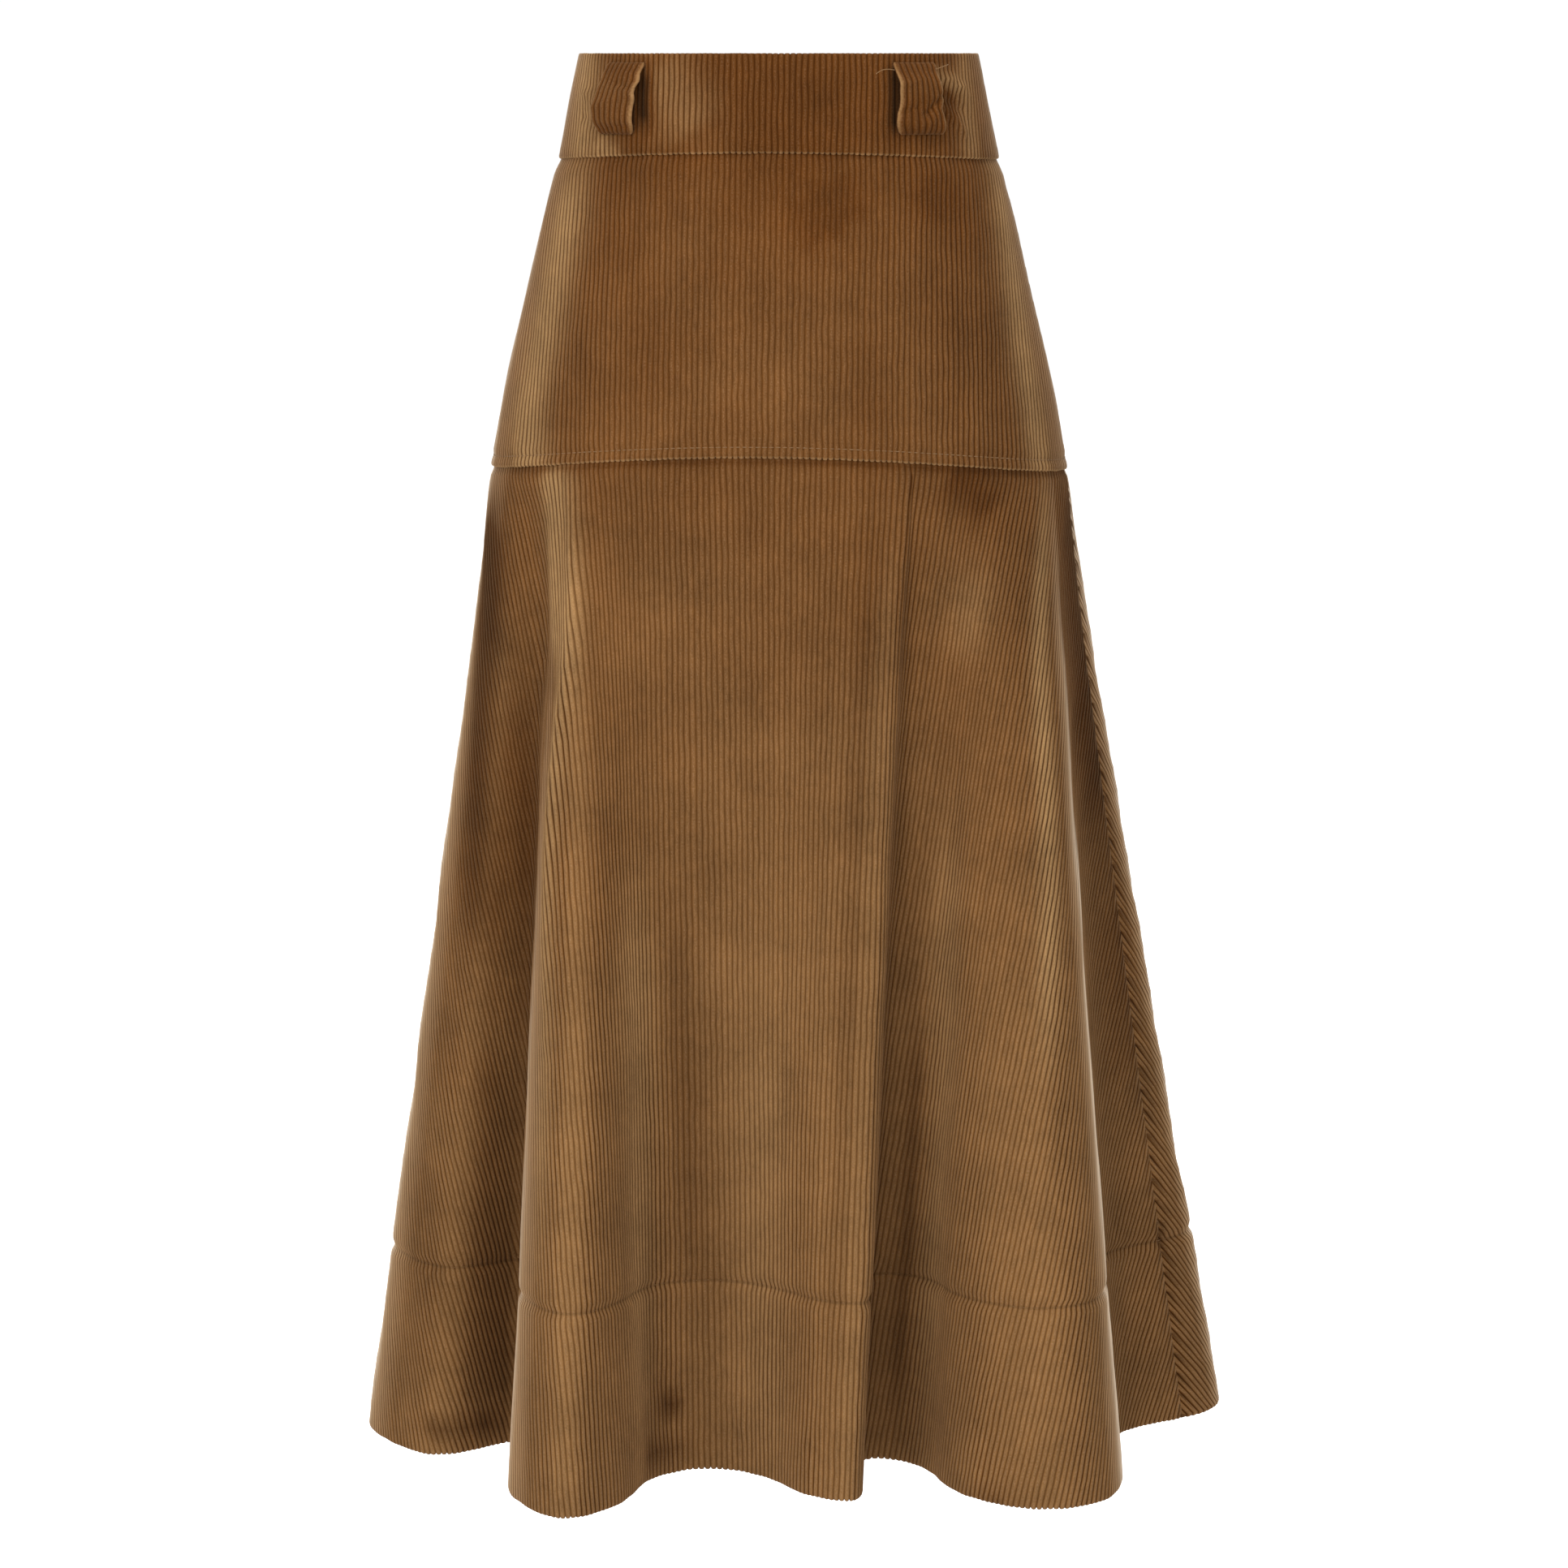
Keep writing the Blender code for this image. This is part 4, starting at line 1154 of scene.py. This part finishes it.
def new_material(name, roughness, sheen=0.0, sheen_rough=0.3, sheen_tint=(1.0, 1.0, 1.0)):
    """A material with its Principled shader."""
    material = bpy.data.materials.new(name)
    material.use_nodes = True
    tree = material.node_tree
    shader = tree.nodes["Principled BSDF"]
    fill(tree, shader, {"Roughness": roughness, "Sheen Weight": sheen, "Sheen Roughness": sheen_rough,
                        "Sheen Tint": (*sheen_tint, 1.0), "Specular IOR Level": 0.06})
    return material, tree, shader


def bump_node(tree, strength, distance, height):
    """A Bump node's output."""
    made = node(tree, "ShaderNodeBump", {"Strength": strength, "Distance": distance, "Height": height})
    return made.outputs[0]


PILE_TOP = (0.150, 0.051, 0.009)
PILE = (0.282, 0.140, 0.048)
# Painted highlight on fold crests and in the strokes of painted light
PILE_PAINTED_HIGHLIGHT = (0.560, 0.335, 0.145)
PILE_PAINTED_SHEEN = (0.740, 0.490, 0.280)  # painted sheen where the cloth is seen at glancing angles
# Painted sheen at the most glancing angles; the glancing share where the painted sheen starts, and its
# strength
PILE_PAINTED_RIM_SHEEN = (1.0, 0.800, 0.590)
PAINTED_SHEEN_FROM, PAINTED_SHEEN = 0.53, 1.2
PILE_LIGHT = (0.315, 0.192, 0.108)
# The grooves' colour: partly the cloth's own, partly painted shade
GROOVE = (0.076, 0.022, 0.002)
TWILL = (0.210, 0.112, 0.048)
TAPE = (0.090, 0.046, 0.020)
THREAD = (0.270, 0.150, 0.066)
ENAMEL, ENAMEL_WORN = (0.165, 0.070, 0.022), (0.330, 0.205, 0.110)
NYLON = (0.120, 0.062, 0.028)
FACING_PULL = 40.0  # how much the cloth's direction outweighs that of its ribs


def corduroy_material(nap):
    """The ribbed face: soft piled wales with darker grooves between them, with painted sheen, painted
    highlights and painted shade.
    """
    material, tree, shader = new_material("corduroy_pile", 0.95, 0.22, 0.5, (1.0, 0.62, 0.34))
    pattern = node(tree, "ShaderNodeUVMap", uv_map="cloth").outputs[0]
    split = node(tree, "ShaderNodeSeparateXYZ", {0: pattern}).outputs
    across, down = split[0], split[1]
    place = node(tree, "ShaderNodeTexCoord").outputs["Object"]
    height = node(tree, "ShaderNodeSeparateXYZ", {0: place}).outputs[2]
    bend, brush, depth = (node(tree, "ShaderNodeAttribute", attribute_name=name).outputs["Fac"]
                          for name in ("bend", "brush", "depth"))
    effect = node(tree, "ShaderNodeGroup", {"Pattern": pattern, "Tuft": 0.34, "Patch": 0.30, "Drift": 0.38},
                  node_tree=nap).outputs
    number = value_node(tree, "FLOOR", across)
    wale = node(tree, "ShaderNodeTexWhiteNoise", {"W": number}, noise_dimensions="1D").outputs["Value"]

    # Within a wale: 0 at its crest, 1 in the groove
    part = value_node(tree, "FRACT", across)
    side = times(tree, value_node(tree, "ABSOLUTE", less(tree, part, 0.5)), 2.0)
    groove, crest = ramp_node(tree, side, 0.44, 1.0), ramp_node(tree, side, 0.75, 0.0)

    # The cloth's own direction, without its ribs
    faced = node(tree, "ShaderNodeAttribute", attribute_name="facing").outputs["Vector"]
    normal = node(tree, "ShaderNodeNewGeometry").outputs["Normal"]
    faced = scaled(tree, faced, FACING_PULL)
    plain = node(tree, "ShaderNodeVectorMath", {0: faced, 1: normal}, operation="ADD")
    level = node(tree, "ShaderNodeVectorMath", {0: plain.outputs[0]}, operation="NORMALIZE").outputs[0]
    front = node(tree, "ShaderNodeSeparateXYZ", {0: level}).outputs[1]
    sideways = less(tree, 1.0, value_node(tree, "ABSOLUTE", front))

    # The pile: deeper in colour near the waist and paler towards the hem, paler on its crests, with painted
    # highlights along fold crests and in the strokes of painted light
    cloud = times(tree, less(tree, noise_node(tree, place, 7.0, 3.0, 0.6), 0.5), 0.5)
    paler_below_and_painted_light = ramp_node(tree, plus(tree, height, cloud), 0.02, -0.60, "LINEAR")
    paler_below_and_painted_light = plus(tree, paler_below_and_painted_light, times(tree, brush, 0.6), True)
    light = times(tree, crest, ramp_node(tree, effect["Tufts"], 0.35, 0.75))
    light = times(tree, light, plus(tree, 0.3, times(tree, paler_below_and_painted_light, 0.4)))
    pile = blend_node(tree, light, blend_node(tree, paler_below_and_painted_light, PILE_TOP, PILE), PILE_LIGHT)
    paler, fold_crest_highlight = ramp_node(tree, brush, 0.0, 1.0, "LINEAR"), ramp_node(tree, bend, 0.35, 2.2)
    wear_and_painted_highlight = plus(tree, times(tree, fold_crest_highlight, 0.12), times(tree, paler, 0.60))
    wear_and_painted_highlight = blend_node(tree, wear_and_painted_highlight, pile, PILE_PAINTED_HIGHLIGHT)

    # Painted shade in the grooves, darker on turned cloth and near the waist; the grooves' colour is partly
    # the cloth's own
    groove_painted_shade = plus(tree, times(tree, ramp_node(tree, sideways, 0.03, 0.25), 0.42),
                    times(tree, ramp_node(tree, height, -0.05, -0.02), 0.30))
    sunk = times(tree, groove, plus(tree, 0.60, groove_painted_shade, True))
    coloured = blend_node(tree, sunk, wear_and_painted_highlight, GROOVE)

    # Painted shade: in folds, in the strokes of painted shade and darker pile, along the hem's pressed
    # stitches, and on cloth turned to the sides
    fold_painted_shade = times(tree, ramp_node(tree, bend, -0.1, -1.4), ramp_node(tree, down, 0.05, 0.5))
    darker_pile_and_painted_shade = ramp_node(tree, brush, 0.0, -2.0, "LINEAR")
    stitched = times(tree, less(tree, down, STITCHES * PANEL_LENGTH), 1000.0)
    stitched = ramp_node(tree, value_node(tree, "ABSOLUTE", stitched), 1.5, 0.3)
    turned = ramp_node(tree, sideways, 0.06, 0.42)
    shade = times(tree, effect["Shade"], plus(tree, 0.95, times(tree, wale, 0.10)))
    for share, amount in ((fold_painted_shade, 0.18), (darker_pile_and_painted_shade, 0.85), (stitched, 0.20), (turned, 0.12)):
        shade = times(tree, shade, less(tree, 1.0, times(tree, share, amount)))

    # Painted sheen: a paler colour painted into the pile where the cloth is seen at glancing angles, kept off
    # the grooves, deep folds and darker strokes
    glancing = node(tree, "ShaderNodeLayerWeight", {"Blend": 0.5, "Normal": level}).outputs["Facing"]
    painted_sheen = times(tree, ramp_node(tree, glancing, PAINTED_SHEEN_FROM, 1.0, "LINEAR"), PAINTED_SHEEN)
    painted_sheen = times(tree, painted_sheen, less(tree, 1.0, ramp_node(tree, side, 0.35, 0.95)))
    painted_sheen = times(tree, painted_sheen, ramp_node(tree, depth, 0.022, 0.006))
    painted_sheen = times(tree, painted_sheen, ramp_node(tree, brush, -1.0, 0.0, "LINEAR"))
    painted_sheen_colour = blend_node(tree, ramp_node(tree, glancing, 0.72, 0.95), PILE_PAINTED_SHEEN, PILE_PAINTED_RIM_SHEEN)
    fill(tree, shader, {"Base Color": blend_node(tree, painted_sheen, scaled(tree, coloured, shade), painted_sheen_colour),
                        "Normal": bump_node(tree, 0.5, 0.0006, effect["Tufts"])})
    return material


def twill_material(name, colour, weave, across, along, slant):
    """A plain woven cloth, for the back of the corduroy and the zip's tape."""
    material, tree, shader = new_material(name, 0.9, 0.15, 0.4, (1.0, 0.9, 0.75))
    pattern = node(tree, "ShaderNodeUVMap", uv_map="cloth").outputs[0]
    amounts = {"Threads across": across, "Threads along": along, "Slant": slant}
    effect = node(tree, "ShaderNodeGroup", {"Pattern": pattern, **amounts}, node_tree=weave).outputs[0]
    place = node(tree, "ShaderNodeTexCoord").outputs["Object"]
    drift = noise_node(tree, place, 35.0, 3.0)
    shade = plus(tree, times(tree, effect, 0.5), plus(tree, 0.55, times(tree, drift, 0.4)))
    fill(tree, shader, {"Base Color": scaled(tree, colour, shade),
                        "Normal": bump_node(tree, 0.5, 0.0002, effect)})
    return material


def thread_material():
    """Spun sewing thread."""
    material, tree, shader = new_material("sewing_thread", 0.75, 0.3, 0.4, (1.0, 0.88, 0.7))
    place = node(tree, "ShaderNodeTexCoord").outputs["Object"]
    twist = noise_node(tree, place, 2600.0, 2.0)
    shade = plus(tree, 0.75, times(tree, twist, 0.5))
    fill(tree, shader, {"Base Color": scaled(tree, THREAD, shade),
                        "Normal": bump_node(tree, 0.4, 0.0001, twist)})
    return material


def enamel_material():
    """Satin enamelled metal, a little rubbed where it is handled."""
    material, tree, shader = new_material("satin_enamel", 0.38)
    place = node(tree, "ShaderNodeTexCoord").outputs["Object"]
    speckle = noise_node(tree, place, 1800.0, 3.0)
    wear_and_painted_highlight = ramp_node(tree, noise_node(tree, place, 420.0, 4.0, 0.7), 0.62, 0.78)
    fill(tree, shader, {"Base Color": blend_node(tree, wear_and_painted_highlight, ENAMEL, ENAMEL_WORN),
                        "Roughness": plus(tree, 0.30, times(tree, speckle, 0.2)),
                        "Metallic": times(tree, wear_and_painted_highlight, 0.8), "Specular IOR Level": 0.35,
                        "Normal": bump_node(tree, 0.15, 0.0001, speckle)})
    return material


# -------------------------------------------------------------- camera, light
CAMERA_PLACE = (0.2282, -2.8566, 0.030)
CAMERA_TILT, CAMERA_TURN = 8.82, 4.5  # degrees down and to the side
CAMERA_LENS, CAMERA_SENSOR = 108.07, 36.0
CAMERA_REACH = 50.0
FLOOR_Z, FLOOR_REACH = -1.05, 12.0
WHITE = (1.0, 1.0, 1.0)
# Each light: place, point it faces, width and height, power, colour
LIGHTS = {
    "key": ((-1.3, -2.8, 1.5), (0.0, 0.0, -0.4), (1.4, 1.6), 32.0, (1.0, 0.985, 0.965)),
    "top": ((0.0, -0.6, 2.6), (0.0, 0.0, -0.4), (2.4, 2.4), 40.0, WHITE),
    "fill": ((1.5, -2.9, 0.3), (0.0, 0.0, -0.4), (1.6, 1.8), 12.0, WHITE),
    "low": ((-0.5, -3.0, -0.5), (0.0, 0.0, -0.5), (1.6, 1.4), 20.0, WHITE),
    "back": ((0.6, 2.8, 1.2), (0.0, 0.0, -0.3), (2.2, 2.2), 40.0, WHITE),
}


def make_camera():
    """The camera, square on but a little to the side and tilted down."""
    data = bpy.data.cameras.new("camera")
    data.lens, data.sensor_width = CAMERA_LENS, CAMERA_SENSOR
    data.clip_end = CAMERA_REACH
    camera = put("camera", data)
    camera.location = CAMERA_PLACE
    camera.rotation_euler = (math.radians(90 - CAMERA_TILT), 0.0, math.radians(CAMERA_TURN))
    bpy.context.scene.camera = camera


def make_light(name, place, aim, size, power, colour):
    """A soft rectangular light that faces a point."""
    data = bpy.data.lights.new(name, "AREA")
    data.shape, data.size, data.size_y = "RECTANGLE", *size
    data.energy, data.color = power, colour
    light = put(name, data)
    light.location = place
    light.rotation_euler = (Vector(aim) - Vector(place)).to_track_quat("-Z", "Y").to_euler()


def make_studio():
    """A white room: a floor, plain surrounding light and five soft lights."""
    scene = bpy.context.scene
    scene.view_settings.view_transform = "Standard"
    world = bpy.data.worlds.new("studio")
    scene.world = world
    world.use_nodes = True
    tree = world.node_tree
    tree.nodes.clear()
    ray = node(tree, "ShaderNodeLightPath").outputs["Is Camera Ray"]
    strength = plus(tree, 0.34, times(tree, ray, 0.68))
    sky = node(tree, "ShaderNodeBackground", {"Color": (*WHITE, 1.0), "Strength": strength})
    node(tree, "ShaderNodeOutputWorld", {"Surface": sky.outputs[0]})

    mesh = bpy.data.meshes.new("floor")
    corners = [(x * FLOOR_REACH, y * FLOOR_REACH, FLOOR_Z) for x, y in ((-1, -1), (1, -1), (1, 1), (-1, 1))]
    mesh.from_pydata(corners, [], [(0, 1, 2, 3)])
    floor = put("floor", mesh)
    material, tree, shader = new_material("floor", 1.0)
    ray = node(tree, "ShaderNodeLightPath").outputs["Is Camera Ray"]
    fill(tree, shader, {"Base Color": (0.75, 0.75, 0.75, 1.0), "Specular IOR Level": 0.0,
                        "Emission Color": (*WHITE, 1.0), "Emission Strength": ray})
    mesh.materials.append(material)
    for name, light in LIGHTS.items():
        make_light(name, *light)


# ----------------------------------------------------------------------- main
# Each body piece: its two ends and where its grain is upright, in degrees
BODY_PIECES = {"front": (-90, 90, 0), "back_left": (90, 180, 180), "back_right": (180, 270, 180)}
NO_DROP = {"centre": 0.0, "side": 0.0}


def dress(piece, slot_name, *nodes):
    """Put a piece on the garment in place of its solids."""
    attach(piece, "garment")
    if nodes:
        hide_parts(*nodes)


def main():
    """Load the part, dress it and set the studio."""
    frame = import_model()
    nap, weave = nap_group(), weave_group()
    twill = twill_material("corduroy_back", TWILL, weave, 3.0, 900.0, 0.35)
    cloth = (corduroy_material(nap), twill)
    tape = twill_material("zip_tape_weave", TAPE, weave, 5.0, 1500.0, 0.0)
    thread, enamel = thread_material(), enamel_material()
    sheets = []

    front = panel_cloth(RIGHT_SEAM_ROW, LEFT_SEAM_ROW, 0.0, 3)
    back = panel_cloth(LEFT_SEAM_ROW, RIGHT_SEAM_ROW, math.pi, 4)
    for name, piece in (("front", front), ("back", back)):
        piece.creases, piece.painted_light_and_nap_strokes = CREASES.get(f"{name}_panel", ()), PAINTED_LIGHT_AND_NAP_STROKES.get(f"{name}_panel", ())
        made = make_panel(f"{name}_panel", piece, cloth)
        dress(made, "corduroy", f"skirt_{name}")
        sheets.append((made, flat_size(piece, LAP, HEM_DEPTH)))

    yokes = []
    for seed, (name, (first, last, centre)) in enumerate(BODY_PIECES.items(), 10):
        piece = body_cloth(first, last, centre, BAND_DROP, YOKE_DROP, seed, YOKE_RIPPLE)
        yokes.append(piece)
        piece.painted_light_and_nap_strokes = PAINTED_LIGHT_AND_NAP_STROKES.get(f"yoke_{name}", ())
        made = make_yoke(f"yoke_{name}_cloth", piece, cloth)
        dress(made, "corduroy", f"yoke_{name}")
        sheets.append((made, flat_size(piece, LAP, LAP)))
        piece = body_cloth(first, last, centre, NO_DROP, BAND_DROP, seed + 10, BAND_RIPPLE)
        piece.creases, piece.painted_light_and_nap_strokes = CREASES.get(f"waistband_{name}", ()), PAINTED_LIGHT_AND_NAP_STROKES.get(f"waistband_{name}", ())
        made = make_band(f"waistband_{name}_cloth", piece, cloth)
        dress(made, "corduroy", f"waistband_{name}")
        sheets.append((made, flat_size(piece, BAND_EDGE, BAND_EDGE)))

    for name, middle in LOOP_ANGLES.items():
        made = make_loop(f"belt_loop_{name}_cloth", middle, LOOP_SHAPES[name], LOOP_FOLDS[name], cloth[:1])
        dress(made, "corduroy", f"belt_loop_{name}")
        length = LOOP_BOTTOM - LOOP_TOP + LOOP_TURNED_IN
        sheets.append((made, ((LOOP_WIDTH, length), LOOP_WIDTH * length)))

    made = make_zip_tape((tape,))
    dress(made, "zip_tape", "zip_tape")
    length = ZIP_BOTTOM - ZIP_TOP
    sheets.append((made, ((ZIP_TAPE_WIDTH, length), ZIP_TAPE_WIDTH * length)))

    tree = stitch_row_tree()
    lines = [line_on(piece, 1 - YOKE_STITCH / piece.height, YOKE_PROUD - YOKE_SUNK) for piece in yokes]
    row = sew("yoke_stitches", tree, lines, stitch_length=0.0030, gap=0.0009, thread_radius=0.00030,
              sink=-0.0001, unevenness=0.08, seed=5, thread=thread)
    dress(row, "corduroy")
    lines = [line_on(piece, STITCHES, -HEM_PRESS) for piece in (front, back)]
    row = sew("hem_stitches", tree, lines, stitch_length=0.0022, gap=0.0046, thread_radius=0.00022,
              sink=0.0001, unevenness=0.15, seed=8, thread=thread)
    dress(row, "corduroy")

    nylon, _, shader = new_material("zip_coil_nylon", 0.4)
    shader.inputs["Base Color"].default_value = (*NYLON, 1.0)
    row = sew("zip_coil", tree, coil_lines(), stitch_length=COIL_STITCH, gap=COIL_GAP,
              thread_radius=COIL_RADIUS, sink=0.0, unevenness=0.0, seed=2, thread=nylon)
    dress(row, "zip_tape")

    dress(make_loose_ends((thread,)), "corduroy")

    for name in ("zip_slider", "zip_pull"):
        for entry in frame["nodes"][name].material_slots:
            entry.material = enamel
    for piece, (flat, area) in sheets:
        print(piece.name, "flat", [round(side, 4) for side in flat], "area", round(area, 4))
    make_camera()
    make_studio()


main()
